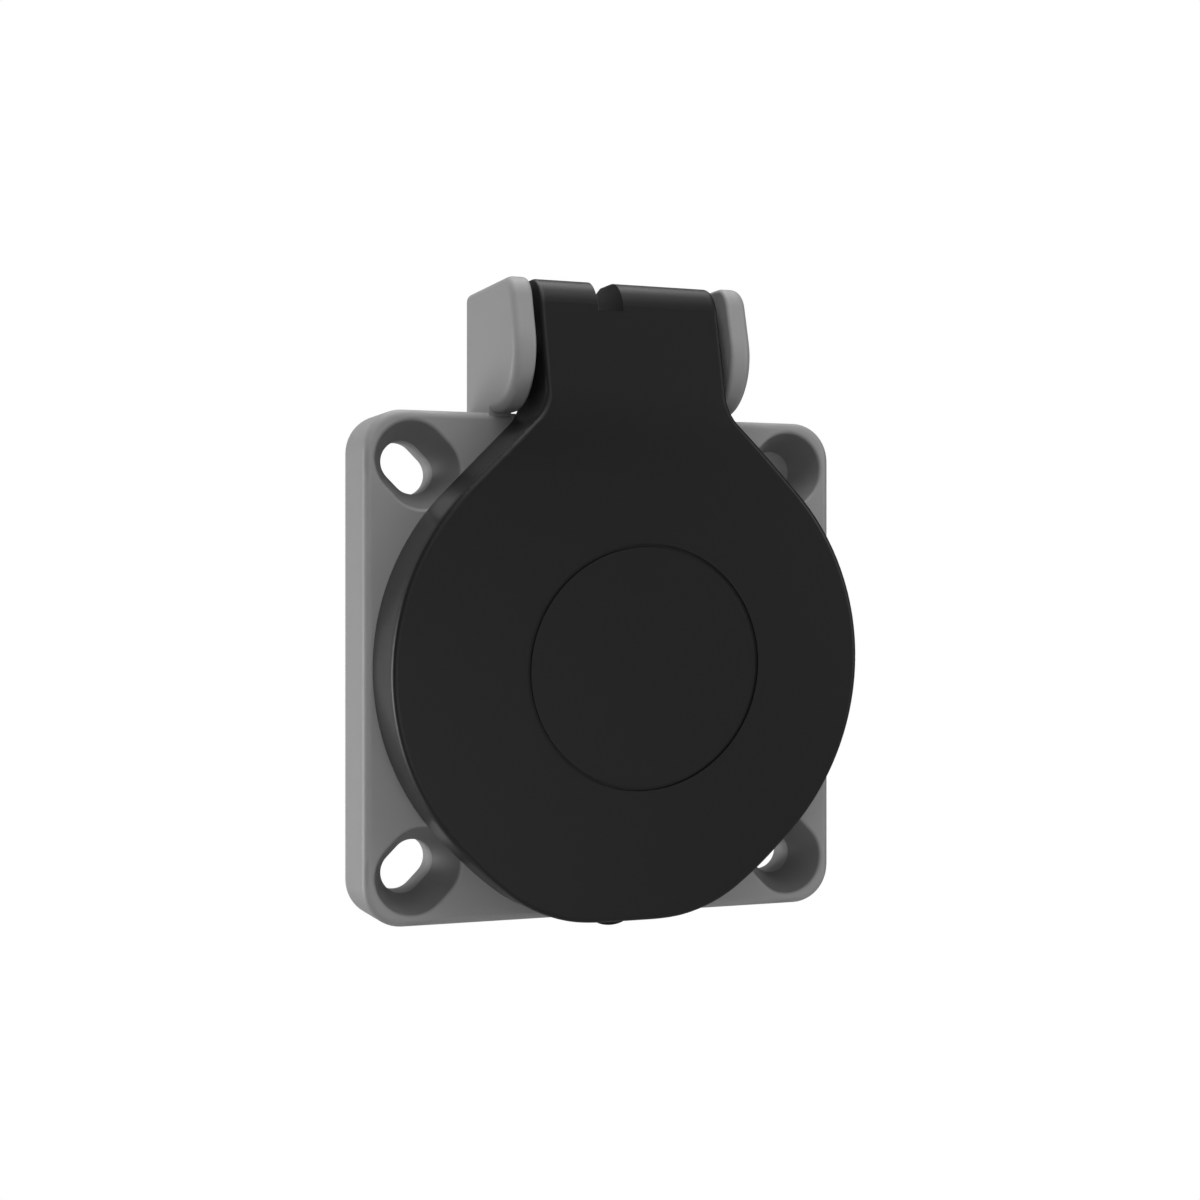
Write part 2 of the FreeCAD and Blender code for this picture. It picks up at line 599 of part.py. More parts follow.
def make_ears(body, s):
    sketch = new_sketch(body, "YZ", "ear_outline", s.ear_inner)
    draw_outline(sketch, ear_outline(s))
    ear = add_pad(body, sketch, s.ear_thickness, "right_ear")
    both = body.newObject("PartDesign::Mirrored", "both_ears")
    both.Originals = [ear]
    both.MirrorPlane = (origin_feature(body, "YZ_Plane"), [""])
    body.Tip = both
    above = (s.flange_half.value + 0.05, -s.ear_outer_edge.value / 2)
    ahead = (s.ear_nose_low.value, (s.flange_front + s.ear_foot_setback).value)

    def on_side(edge, x):
        return any(edge_within(edge, (side * x, None, low), (side * x, rear, None))
                   for side in (-1, 1) for low, rear in (above, ahead))

    rounded = add_fillet(body, both, s.ear_outer_edge, lambda edge: on_side(edge, s.ear_outer.value),
                         "ear_outer_edges")
    return add_fillet(body, rounded, s.ear_inner_edge, lambda edge: on_side(edge, s.ear_inner.value),
                      "ear_inner_edges")


def cut_bores(body, s):
    recess = new_sketch(body, "XZ", "recess_outline", -s.collar_front)
    draw_circle(recess, s.recess_radius)
    add_pocket(body, recess, "plug_recess", s.ledge_front - s.collar_front)
    ledge = new_sketch(body, "XZ", "ledge_outline", -s.ledge_front)
    draw_circle(ledge, s.ledge_radius)
    add_pocket(body, ledge, "ledge_opening")
    end = new_sketch(body, "XZ", "block_seat_outline", -s.barrel_end)
    draw_circle(end, s.block_radius)
    add_pocket(body, end, "block_seat", s.block_seat, forward=True)
    channel = new_sketch(body, "XZ", "earth_channel_outline", -(s.collar_front + s.channel_setback))
    half = s.channel_width / 2
    draw_box(channel, -half, -s.channel_radius, half, s.channel_radius)
    add_pocket(body, channel, "earth_channels", s.strap_room - s.collar_front - s.channel_setback)


def make_guides(body, s):
    """The two ribs that keep a plug from turning."""
    sketch = new_sketch(body, "XZ", "guide_outline", -s.contact_face)
    half = s.guide_width / 2
    wall = s.recess_radius + s.collar_wall / 2
    draw_box(sketch, s.guide_reach, -half, wall, half)
    draw_box(sketch, -wall, -half, -s.guide_reach, half)
    return add_pad(body, sketch, s.recess_depth - s.guide_setback, "guide_ribs")


def cut_fixing_slots(body, s):
    """Four slots on the diagonals, each opening into a pocket with a soft rim for a screw head."""
    centre = s.slot_place
    slanted = Size(45.0, "45")
    slot = new_sketch(body, "XZ", "slot_outline")
    draw_slot(slot, centre, centre, s.slot_travel / 2, s.slot_width / 2, slanted)
    through = add_pocket(body, slot, "fixing_slot", forward=True)
    slots = add_pattern(body, [through], 4, "fixing_slots")
    depth = s.flange_thickness - s.slot_land
    flare = (s.pocket_width - s.slot_width) / 2
    pocket = new_sketch(body, "XZ", "pocket_outline", s.flange_thickness)
    draw_slot(pocket, centre, centre, s.slot_travel / 2, s.pocket_width / 2, slanted)
    taper = Size(-math.degrees(math.atan(flare.value / depth.value)),
                 f"(0 - atan({flare.text} / {depth.text}) / 1 deg)")
    cone = add_pocket(body, pocket, "head_pocket", depth, taper=taper)
    pockets = add_pattern(body, [cone], 4, "head_pockets")
    within = (s.pocket_width / 2 + s.slot_travel / 2).value

    def on_rim(edge):
        return all(abs(vertex.Y - s.flange_front.value) < 0.01
                   and math.hypot(abs(vertex.X) - centre.value, abs(vertex.Z) - centre.value) < within
                   for vertex in edge.Vertexes)

    return add_fillet(body, pockets, s.pocket_lip, on_rim, "pocket_rims")


def cut_rear_groove(body, s):
    groove = new_sketch(body, "XZ", "gasket_groove_outline")
    draw_circle(groove, s.gasket_inner)
    draw_circle(groove, s.gasket_outer)
    add_pocket(body, groove, "gasket_groove", s.gasket_depth, forward=True)


def cut_pin_bore(body, s):
    """The pin's bore: blind in the left ear, through the right one."""
    bore = new_sketch(body, "YZ", "pin_bore_outline", -(s.ear_inner + s.pin_blind))
    draw_circle(bore, s.pin_bore, s.pin_place, s.pin_height)
    return add_pocket(body, bore, "pin_bore", s.ear_inner + s.ear_outer * 2, forward=True)


def make_housing(doc, s):
    body = new_body(doc, "housing")
    make_flange(body, s)
    make_tubes(body, s)
    make_ears(body, s)
    cut_bores(body, s)
    make_guides(body, s)
    cut_fixing_slots(body, s)
    cut_rear_groove(body, s)
    bore = cut_pin_bore(body, s)
    rim = s.collar_front.value
    collar = add_fillet(body, bore, s.collar_edge,
                        lambda edge: edge_within(edge, (None, rim, None), (None, rim, None)), "collar_rim")
    end = s.barrel_end.value
    wall = ((s.block_radius + s.barrel_radius) / 2).value
    add_bevel(body, collar, s.barrel_lead,
              lambda edge: edge_within(edge, (None, end, None), (None, end, None)) and edge.BoundBox.XMax > wall,
              "barrel_lead")
    return body


def make_gasket(doc, s):
    return ring_body(doc, "flange_gasket", s.gasket_inner + s.gasket_fit, s.gasket_outer - s.gasket_fit,
                     -s.gasket_depth, s.gasket_depth)


# Lid

def lid_outline(s):
    """Front view of the lid: a disc with slanted shoulders up to the neck and a wider foot."""
    half = s.knuckle_width / 2
    diagonal = s.lid_radius / root(as_size(2))
    slope_sum = s.lid_radius * root(as_size(2))
    blend = s.shoulder_radius
    blend_x = half + blend
    blend_z = slope_sum - half + blend * tangent(Size(22.5, "22.5"))
    low_x = blend_x - blend / root(as_size(2))
    low_z = blend_z - blend / root(as_size(2))
    flat = root(s.foot_radius * s.foot_radius - s.foot_drop * s.foot_drop)
    swing = root(s.foot_radius * s.foot_radius * 2 - slope_sum * slope_sum)
    foot_x = (slope_sum - swing) / 2
    foot_z = -(slope_sum + swing) / 2
    return [
        (flat, -s.foot_drop),
        (foot_x, foot_z, 0, 0, 1),
        (diagonal, -diagonal),
        (diagonal, diagonal, 0, 0, 1),
        (low_x, low_z),
        (half, blend_z, blend_x, blend_z, -1),
        (half, s.knuckle_top),
        (-half, s.knuckle_top),
        (-half, blend_z),
        (-low_x, low_z, -blend_x, blend_z, -1),
        (-diagonal, diagonal),
        (-diagonal, -diagonal, 0, 0, 1),
        (-foot_x, foot_z),
        (-flat, -s.foot_drop, 0, 0, 1),
    ]


def front_profile(s):
    """Side view of what is cut away in front of the lid: leaning face, knee, neck and brow."""
    far = s.lid_face - s.ear_top
    low = -s.flange_width
    knee_y = s.lid_face - tangent(s.lid_lean) * s.knee_height
    half_turn = (s.lid_lean + s.neck_lean) / 2
    reach = s.knee_radius * tangent(half_turn)
    face_end = (knee_y + reach * sine(s.lid_lean), s.knee_height - reach * cosine(s.lid_lean))
    neck_start = (knee_y + reach * sine(s.neck_lean), s.knee_height + reach * cosine(s.neck_lean))
    knee = (face_end[0] + s.knee_radius * cosine(s.lid_lean), face_end[1] + s.knee_radius * sine(s.lid_lean))
    brow_z = s.knuckle_top - s.knuckle_brow
    brow_y = (knee_y + (brow_z - s.knee_height) * tangent(s.neck_lean)
              + s.knuckle_brow / cosine(s.neck_lean))
    brow_end = (brow_y - s.knuckle_brow * cosine(s.neck_lean), brow_z + s.knuckle_brow * sine(s.neck_lean))
    low_y = s.lid_face - tangent(s.lid_lean) * low
    return [
        (far, low),
        (low_y, low),
        (*face_end,),
        (*neck_start, *knee, -1),
        (*brow_end,),
        (brow_y, s.knuckle_top, brow_y, brow_z, -1),
        (brow_y, s.knuckle_top * 2),
        (far, s.knuckle_top * 2),
    ]


def knuckle_outline(s):
    """Side view of neck and knuckle, round about the hinge axis with a heel that stops the lid."""
    pin = (s.pin_place, s.pin_height)
    heel = 180 - s.opening_angle - s.stop_slack - arc_cosine(s.pin_rise / s.heel_radius)
    heel_tip = (pin[0] + s.heel_radius * sine(heel), pin[1] + s.heel_radius * cosine(heel))
    heel_root = (pin[0] + s.knuckle_radius * sine(heel), pin[1] + s.knuckle_radius * cosine(heel))
    overhang = s.lid_rear - pin[0]
    under = pin[1] - root(s.knuckle_radius * s.knuckle_radius - overhang * overhang)
    far = s.lid_face - s.lid_height
    low = s.skirt_radius + s.skirt_wall / 2
    return [
        (s.lid_rear, low),
        (s.lid_rear, under),
        (*heel_root, *pin, 1),
        (*heel_tip,),
        (s.pin_place + s.knuckle_flat_end, s.knuckle_top),
        (far, s.knuckle_top),
        (far, low),
    ]


def spring_hollow(s):
    """Side view of the hollow for the spring behind the hinge axis, open to the rear and below."""
    beyond = s.pin_place + s.heel_radius + s.part_fit
    relief = s.lid_rear - s.hollow_relief
    return [
        (s.pin_place, s.pin_height),
        (relief, s.pin_height),
        (relief, s.flange_half),
        (beyond, s.flange_half),
        (beyond, s.pin_height + s.hollow_radius),
        (s.pin_place, s.pin_height + s.hollow_radius),
    ]


def make_lid_shell(body, s):
    rear = -s.lid_rear
    outline = new_sketch(body, "XZ", "lid_outline", rear)
    draw_outline(outline, lid_outline(s))
    add_pad(body, outline, s.lid_height * 2, "lid_blank")
    inside = new_sketch(body, "XZ", "skirt_inside", rear)
    draw_circle(inside, s.skirt_radius)
    add_pocket(body, inside, "lid_hollow", forward=True)
    plate = new_sketch(body, "XZ", "front_wall_outline", -s.lid_face, s.lid_lean)
    draw_circle(plate, s.skirt_radius + s.skirt_wall / 2)
    add_pad(body, plate, s.lid_wall * cosine(s.lid_lean), "front_wall", back=True)


def make_seal_seat(body, s):
    rim = -(s.seal_front + s.seal_seat)
    ribs = new_sketch(body, "XZ", "seal_rib_outline", rim)
    draw_circle(ribs, s.seal_inner - s.seal_fit - s.seal_rib)
    draw_circle(ribs, s.seal_outer + s.seal_fit + s.seal_rib)
    add_pad(body, ribs, s.lid_height, "seal_ribs")
    seat = new_sketch(body, "XZ", "seal_seat_outline", rim)
    draw_circle(seat, s.seal_inner - s.seal_fit)
    draw_circle(seat, s.seal_outer + s.seal_fit)
    add_pocket(body, seat, "seal_seat", s.seal_seat, forward=True)


def make_knuckle(body, s):
    side = new_sketch(body, "YZ", "knuckle_outline")
    draw_outline(side, knuckle_outline(s))
    add_pad(body, side, s.knuckle_width, "knuckle", both_ways=True)
    tab = new_sketch(body, "XZ", "tab_outline", -s.lid_rear)
    half = s.tab_width / 2
    root_z = -(s.skirt_radius + s.skirt_wall / 2)
    tip_z = -(s.tab_drop - half)
    draw_outline(tab, [(half, root_z), (-half, root_z), (-half, tip_z), (half, tip_z, 0, tip_z, 1)])
    add_pad(body, tab, s.tab_depth, "finger_tab")
    front = new_sketch(body, "YZ", "front_profile")
    draw_outline(front, front_profile(s))
    return add_pocket(body, front, "front_face", s.flange_width * 2, both_ways=True)


def round_front_edge(body, base, s):
    """Round the outer edge of the front faces, over the brow and along the knuckle's top."""
    body.Document.recompute()
    front = [face for face in base.Shape.Faces if on_front(face, s)]
    seen = [edge.hashCode() for face in front for edge in face.Edges]
    rim = {code for code in seen if seen.count(code) == 1}
    rear = s.pin_place.value
    return add_fillet(body, base, s.lid_edge,
                      lambda edge: edge.hashCode() in rim and edge.BoundBox.YMin < rear, "front_edge")


def on_front(face, s):
    """Whether a face belongs to the lid's front, its brow or the knuckle's top."""
    low, high = face.ParameterRange[0::2], face.ParameterRange[1::2]
    normal = face.normalAt((low[0] + high[0]) / 2, (low[1] + high[1]) / 2)
    centre = face.CenterOfMass
    ahead = normal.y < -0.9 and centre.y < s.lid_face.value * 0.9
    above = normal.y < 0.01 and normal.z > 0.3 and centre.z > s.pin_height.value
    return abs(normal.x) < 0.001 and (ahead or above)


def cut_knuckle(body, s):
    pin = (s.pin_place, s.pin_height)
    notch = new_sketch(body, "XZ", "notch_outline")
    draw_box(notch, -s.notch_left, s.notch_floor, s.notch_right, s.knuckle_top * 2)
    add_pocket(body, notch, "notch", forward=True)
    width = s.hollow_right + s.notch_left
    room = new_sketch(body, "YZ", "spring_room_outline", -s.notch_left)
    draw_outline(room, spring_hollow(s))
    add_pocket(body, room, "spring_room", width, forward=True)
    coil = new_sketch(body, "YZ", "coil_room_outline", -s.notch_left)
    draw_circle(coil, s.hollow_radius, *pin)
    add_pocket(body, coil, "coil_room", width, forward=True)
    bore = new_sketch(body, "YZ", "knuckle_bore_outline")
    draw_circle(bore, s.pin_bore, *pin)
    return add_pocket(body, bore, "knuckle_bore", s.knuckle_width * 2, both_ways=True)


def make_lid(doc, s):
    body = new_body(doc, "lid")
    make_lid_shell(body, s)
    make_seal_seat(body, s)
    front = make_knuckle(body, s)
    round_front_edge(body, front, s)
    cut_knuckle(body, s)
    ring = new_sketch(body, "XZ", "ring_outline", -s.lid_face, s.lid_lean)
    draw_circle(ring, s.ring_radius - s.ring_width / 2, s.ring_shift)
    draw_circle(ring, s.ring_radius + s.ring_width / 2, s.ring_shift)
    add_pocket(body, ring, "ring_groove", s.ring_depth)
    return body


def make_lid_seal(doc, s):
    return ring_body(doc, "lid_seal", s.seal_inner, s.seal_outer, s.seal_front, s.seal_thickness)


# Hinge

def make_hinge_pin(doc, s):
    body = new_body(doc, "hinge_pin")
    start = s.ear_inner + s.pin_blind - s.part_fit
    sketch = new_sketch(body, "YZ", "pin_section", -start)
    draw_circle(sketch, s.pin_diameter / 2, s.pin_place, s.pin_height)
    add_pad(body, sketch, start + s.ear_outer - s.part_fit, "pin")
    return body


def make_lid_spring(doc, s):
    """Coil spring round the pin: its right leg lifts the knuckle, its left leg stands on the flange.
    Each half turn is an arc in its own slanted plane, and the last arc before the right leg is upright."""
    radius = s.read("spring_radius")
    wire = s.read("spring_wire") / 2
    drop = math.radians(s.read("spring_drop"))
    left = s.read("spring_left")
    halves = 2 * int(s.read("spring_turns"))
    advance = (s.read("spring_right") - left) / halves

    def section(place, heading):
        return Part.Face(Part.Wire([Part.Circle(place, heading, wire).toShape()]))

    place = Vector(left, -radius * math.sin(drop), -radius * math.cos(drop))
    heading = Vector(0, -math.cos(drop), math.sin(drop))
    fall = s.read("pin_rise") - wire - s.read("part_fit") / 2
    lower = heading * ((fall - radius * math.cos(drop)) / math.sin(drop))
    winding = [section(place - lower, heading).extrude(lower)]
    for _ in range(halves):
        opposite = Vector(place.x + advance, -place.y, -place.z)
        centre = (place + opposite) / 2
        winding.append(section(place, heading).revolve(centre, (place - centre).cross(heading), 180))
        place, heading = opposite, -heading
    closing = 180 - s.read("spring_drop") - s.read("spring_rise")
    winding.append(section(place, heading).revolve(Vector(place.x, 0, 0), Vector(-1, 0, 0), closing))
    turned = Rotation(Vector(-1, 0, 0), closing)
    place, heading = turned.multVec(place), turned.multVec(heading)
    winding.append(section(place, heading).extrude(heading * s.read("spring_leg")))
    node = doc.addObject("Part::Feature", "lid_spring")
    node.Label = "lid_spring"
    node.Shape = winding[0].fuse(winding[1:]).removeSplitter().Solids[0]
    node.Placement = Placement(Vector(0, s.read("pin_place"), s.read("pin_height")), Rotation())
    return node


# Contact carrier and terminal block

def make_carrier(doc, s):
    """The contact face with its tubes and spigot, clamped on the housing's ledge."""
    body = new_body(doc, "contact_carrier")
    plate = new_sketch(body, "XZ", "plate_outline", -s.ledge_front)
    draw_circle(plate, s.recess_radius - s.part_fit)
    add_pad(body, plate, s.plate_thickness, "face_plate")
    spigot = new_sketch(body, "XZ", "spigot_outline", -s.ledge_front)
    outer = s.ledge_radius - s.part_fit * 2
    draw_circle(spigot, outer)
    draw_circle(spigot, outer - s.carrier_wall)
    add_pad(body, spigot, s.ledge_thickness, "spigot", back=True)
    tubes = new_sketch(body, "XZ", "tube_outlines", -s.ledge_front)
    for x, bore in ((-s.pole, s.pole_bore / 2), (as_size(0), s.centre_hole), (s.pole, s.pole_bore / 2)):
        draw_circle(tubes, bore + s.carrier_wall, x)
    add_pad(body, tubes, s.ledge_thickness, "tubes", back=True)
    holes = new_sketch(body, "XZ", "hole_outlines")
    draw_circle(holes, s.pole_bore / 2, -s.pole)
    draw_circle(holes, s.pole_bore / 2, s.pole)
    draw_circle(holes, s.centre_hole)
    add_pocket(body, holes, "holes")
    sink = new_sketch(body, "XZ", "sink_outline", -s.contact_face)
    sink_radius = s.centre_head / 2 + s.head_sink + s.part_fit
    draw_circle(sink, sink_radius)
    add_pocket(body, sink, "screw_sink", sink_radius - s.centre_hole, taper=as_size(-45))
    notches = new_sketch(body, "XZ", "spring_notch_outlines")
    half = s.channel_width / 2 + s.part_fit * 2
    for low, high in ((-s.recess_radius, -s.spring_notch), (s.spring_notch, s.recess_radius)):
        draw_box(notches, -half, low, half, high)
    add_pocket(body, notches, "spring_notches")
    return body


def make_block(doc, s):
    """The rear insulator that closes the barrel and holds the terminals."""
    body = new_body(doc, "terminal_block")
    disc = new_sketch(body, "XZ", "disc_outline", -s.block_front)
    draw_circle(disc, s.block_radius - s.part_fit)
    add_pad(body, disc, s.barrel_end - s.block_front, "disc", back=True)
    shape = new_sketch(body, "XZ", "block_outline", -s.barrel_end)
    draw_round_box(shape, -s.block_side, -s.block_bottom, s.block_side, s.block_top, s.block_corner)
    add_pad(body, shape, s.block_end - s.barrel_end, "block", back=True)
    cut_chambers(body, s)
    cut_block_holes(body, s)
    return body


def cut_chambers(body, s):
    sleeves = new_sketch(body, "XZ", "sleeve_chamber_outlines", -s.block_front)
    for x in (-s.pole, s.pole):
        draw_circle(sleeves, s.chamber_radius, x)
    add_pocket(body, sleeves, "sleeve_chambers", s.chamber_end - s.block_front)
    clamps = new_sketch(body, "XZ", "clamp_chamber_outlines", -s.block_front)
    half = s.terminal_side / 2 + s.terminal_gap
    for number in (-1, 0, 1):
        x = s.pole * number
        draw_box(clamps, x - half, s.terminal_height - half, x + half, s.terminal_height + half)
    add_pocket(body, clamps, "clamp_chambers", s.chamber_rear - s.block_front)
    webs = new_sketch(body, "XZ", "web_slot_outlines", -s.block_front)
    half = s.web_thickness / 2 + s.part_fit
    for x in (-s.pole, s.pole):
        draw_box(webs, x - half, 0, x + half, s.terminal_height)
    add_pocket(body, webs, "web_slots", s.chamber_rear - s.block_front)
    strap = new_sketch(body, "XZ", "strap_channel_outline", -s.block_front)
    half = s.channel_width / 2
    draw_box(strap, -half, -s.flange_half, half, s.flange_half)
    add_pocket(body, strap, "strap_channel", s.strap_room - s.block_front)
    eye = new_sketch(body, "XZ", "eye_seat_outline", -s.block_front)
    draw_circle(eye, s.strap_eye + s.strap_seat)
    add_pocket(body, eye, "eye_seat", s.strap_room - s.block_front)


def hexagon(width):
    """The corners of a hexagon with two flats facing left and right."""
    reach = width / root(as_size(3))
    return [(width / 2, -(reach / 2)), (width / 2, reach / 2), (0, reach),
            (-(width / 2), reach / 2), (-(width / 2), -(reach / 2)), (0, -reach)]


def cut_block_holes(body, s):
    screw = new_sketch(body, "XZ", "centre_hole_outline")
    draw_circle(screw, s.centre_hole)
    add_pocket(body, screw, "centre_hole")
    nut = new_sketch(body, "XZ", "nut_seat_outline", -s.block_end)
    draw_outline(nut, hexagon(s.nut_width + s.part_fit * 2))
    add_pocket(body, nut, "nut_seat", s.nut_height + s.part_fit * 2, forward=True)
    wires = new_sketch(body, "XZ", "wire_hole_outlines", -s.block_end)
    for number in (-1, 0, 1):
        draw_circle(wires, s.wire_entry / 2, s.pole * number, s.terminal_height)
    add_pocket(body, wires, "wire_holes", s.chamber_wall, forward=True)
    screws = new_sketch(body, "XY", "screw_access_outlines", s.block_top)
    for number in (-1, 0, 1):
        draw_circle(screws, s.screw_head / 2 + s.screw_play, s.pole * number, s.screw_place)
    add_pocket(body, screws, "screw_access", s.block_top - s.terminal_height)


# Contacts and terminals

def add_clamp(body, s, x, front):
    """A screw clamp: a rounded block with a wire hole from the rear and a screw hole from above."""
    half = s.terminal_side / 2
    rear = s.terminal_rear
    low, high = s.terminal_height - half, s.terminal_height + half
    shape = new_sketch(body, "XZ", "clamp_outline", -rear)
    draw_round_box(shape, x - half, low, x + half, high, s.terminal_edge)
    add_pad(body, shape, rear - front, "clamp")
    wire = new_sketch(body, "XZ", "wire_hole_outline", -rear)
    draw_circle(wire, s.wire_bore / 2, x, s.terminal_height)
    add_pocket(body, wire, "wire_hole", s.terminal_length - s.terminal_edge * 2, forward=True)
    screw = new_sketch(body, "XY", "screw_hole_outline", high)
    draw_circle(screw, s.screw_shank / 2 + s.part_fit, x, s.screw_place)
    add_pocket(body, screw, "screw_hole", half)


def make_contact(doc, s, name, side):
    """A slotted sleeve for a plug pin, joined to its screw clamp by a web."""
    body = new_body(doc, name)
    x = s.pole * side
    half = s.web_thickness / 2
    inner = s.plug_pin / 2
    web = new_sketch(body, "XZ", "web_outline", -s.sleeve_rear)
    draw_box(web, x - half, inner + s.sleeve_wall / 2, x + half, s.terminal_height)
    add_pad(body, web, s.sleeve_rear - s.terminal_front, "web")
    add_clamp(body, s, x, s.terminal_front)
    ring = new_sketch(body, "XZ", "sleeve_outline", -s.sleeve_rear)
    draw_circle(ring, inner, x)
    draw_circle(ring, s.sleeve_radius, x)
    add_pad(body, ring, s.sleeve_length, "sleeve")
    slot = new_sketch(body, "XZ", "sleeve_slot_outline", -s.sleeve_front)
    reach = s.sleeve_radius + s.sleeve_wall
    draw_box(slot, x - reach, -s.sleeve_slot / 2, x + reach, s.sleeve_slot / 2)
    add_pocket(body, slot, "sleeve_slot", s.sleeve_length - s.sleeve_root)
    return body


def make_clip(doc, s, name, side):
    """An open steel ring round a sleeve, its gap astride the web."""
    body = new_body(doc, name)
    x = s.pole * side
    inner, outer = s.clip_inner, s.clip_outer
    half = s.clip_gap / 2
    front = s.terminal_front + s.part_fit
    ring = new_sketch(body, "XZ", "clip_outline", -(front + s.clip_width))
    inner_z = root(inner * inner - half * half)
    outer_z = root(outer * outer - half * half)
    draw_outline(ring, [(x + half, outer_z), (x - half, outer_z, x, 0, -1), (x - half, inner_z),
                        (x + half, inner_z, x, 0, 1)])
    add_pad(body, ring, s.clip_width, "clip")
    return body


def make_terminal_screw(doc, s, name, number):
    body = new_body(doc, name)
    x = s.pole * number
    shank = new_sketch(body, "XY", "shank_outline", s.screw_tip)
    draw_circle(shank, s.screw_shank / 2, x, s.screw_place)
    add_pad(body, shank, s.screw_length + s.screw_head_height / 2, "shank")
    head = new_sketch(body, "XY", "head_outline", s.screw_tip + s.screw_length)
    draw_circle(head, s.screw_head / 2, x, s.screw_place)
    add_pad(body, head, s.screw_head_height, "head")
    slot = new_sketch(body, "XY", "slot_outline", s.screw_tip + s.screw_length + s.screw_head_height)
    half = s.screw_slot / 2
    draw_box(slot, x - s.screw_head, s.screw_place - half, x + s.screw_head, s.screw_place + half)
    add_pocket(body, slot, "slot", s.screw_slot)
    return body


def make_leaf(doc, s, name, number):
    """The leaf between screw and wire, its lip turned up behind the clamp."""
    body = new_body(doc, name)
    sketch = new_sketch(body, "YZ", "leaf_outline", s.pole * number)
    half = s.leaf_thickness / 2
    height = s.screw_tip - s.part_fit / 2 - half
    bend = s.leaf_thickness
    start = s.terminal_front + s.terminal_edge * 2 + s.part_fit * 2
    length = s.terminal_rear + s.part_fit + half - bend - start
    draw_outline(sketch, strip_outline((start, height), as_size(0), [
        (length,),
        (bend, 90),
        (s.leaf_lip - bend,),
    ], half))
    add_pad(body, sketch, s.wire_bore - s.leaf_play * 2, "leaf", both_ways=True)
    return body


def make_earth_strap(doc, s):
    """One strip from the upper earth spring behind the contacts to the lower one."""
    body = new_body(doc, "earth_strap")
    half = new_sketch(body, "YZ", "strap_side")
    draw_outline(half, strip_outline((s.strap_plane, as_size(0)), as_size(90), [
        (s.strap_radius - s.strap_bend,),
        (s.strap_bend, 90),
        (s.strap_side,),
        (s.strap_bend, s.strap_lean),
        (s.strap_blade,),
        (s.strap_bend, -s.strap_turn),
        (s.strap_tip,),
    ], s.strap_thickness / 2))
    upper = add_pad(body, half, s.strap_width, "upper_half", both_ways=True)
    both = body.newObject("PartDesign::Mirrored", "both_halves")
    both.Originals = [upper]
    both.MirrorPlane = (origin_feature(body, "XY_Plane"), [""])
    body.Tip = both
    eye = new_sketch(body, "XZ", "eye_outline", -(s.strap_plane + s.strap_thickness / 2))
    draw_circle(eye, s.strap_eye)
    add_pad(body, eye, s.strap_thickness, "eye")
    hole = new_sketch(body, "XZ", "eye_hole_outline")
    draw_circle(hole, s.centre_hole)
    add_pocket(body, hole, "eye_hole")
    return body


def make_earth_clamp(doc, s):
    body = new_body(doc, "earth_clamp")
    add_clamp(body, s, as_size(0), s.strap_plane + s.strap_thickness / 2 + s.part_fit / 2)
    return body


def make_centre_screw(doc, s):
    """Countersunk screw that ties contact face and terminal block together."""
    body = new_body(doc, "centre_screw")
    front = s.contact_face + s.head_sink
    rear = s.block_end - s.part_fit
    shank = new_sketch(body, "XZ", "shank_outline", -rear)
    draw_circle(shank, s.centre_shank / 2)
    add_pad(body, shank, rear - front, "shank")
    head = new_sketch(body, "XZ", "head_outline", -front)
    draw_circle(head, s.centre_head / 2)
    cone = add_pad(body, head, (s.centre_head - s.centre_shank) / 2, "head", back=True)
    bind(cone, "TaperAngle", as_size(-45))
    cross = new_sketch(body, "XZ", "cross_outline", -front)
    arm = s.driver_cross / 2
    half = s.screw_slot / 2
    draw_outline(cross, [
        (arm, -half), (arm, half), (half, half),
        (half, arm), (-half, arm), (-half, half),
        (-arm, half), (-arm, -half), (-half, -half),
        (-half, -arm), (half, -arm), (half, -half),
    ])
    add_pocket(body, cross, "cross", s.driver_depth)
    return body


def make_centre_nut(doc, s):
    body = new_body(doc, "centre_nut")
    sketch = new_sketch(body, "XZ", "nut_outline", -(s.block_end - s.part_fit))
    draw_outline(sketch, hexagon(s.nut_width))
    draw_circle(sketch, s.centre_shank / 2 + s.pin_fit)
    add_pad(body, sketch, s.nut_height, "nut")
    return body


def make_all(doc, s):
    nodes = [
        make_housing(doc, s),
        make_gasket(doc, s),
        make_lid(doc, s),
        make_lid_seal(doc, s),
        make_hinge_pin(doc, s),
        make_lid_spring(doc, s),
        make_carrier(doc, s),
        make_block(doc, s),
        make_earth_strap(doc, s),
        make_earth_clamp(doc, s),
        make_centre_screw(doc, s),
        make_centre_nut(doc, s),
    ]
    for name, side in (("live", -1), ("neutral", 1)):
        nodes.append(make_contact(doc, s, f"{name}_contact", side))
        nodes.append(make_clip(doc, s, f"{name}_clip", side))
    for name, number in (("live", -1), ("earth", 0), ("neutral", 1)):
        nodes.append(make_terminal_screw(doc, s, f"{name}_screw", number))
        nodes.append(make_leaf(doc, s, f"{name}_leaf", number))
    return nodes


def check(doc, nodes):
    for item in doc.Objects:
        bad = [state for state in item.State if state in ("Invalid", "Error")]
        if bad:
            raise RuntimeError(f"{item.Label}: {bad}")
    for node in nodes:
        if node.Shape.isNull() or not node.Shape.isValid():
            raise RuntimeError(f"{node.Label}: the shape is null or not valid")


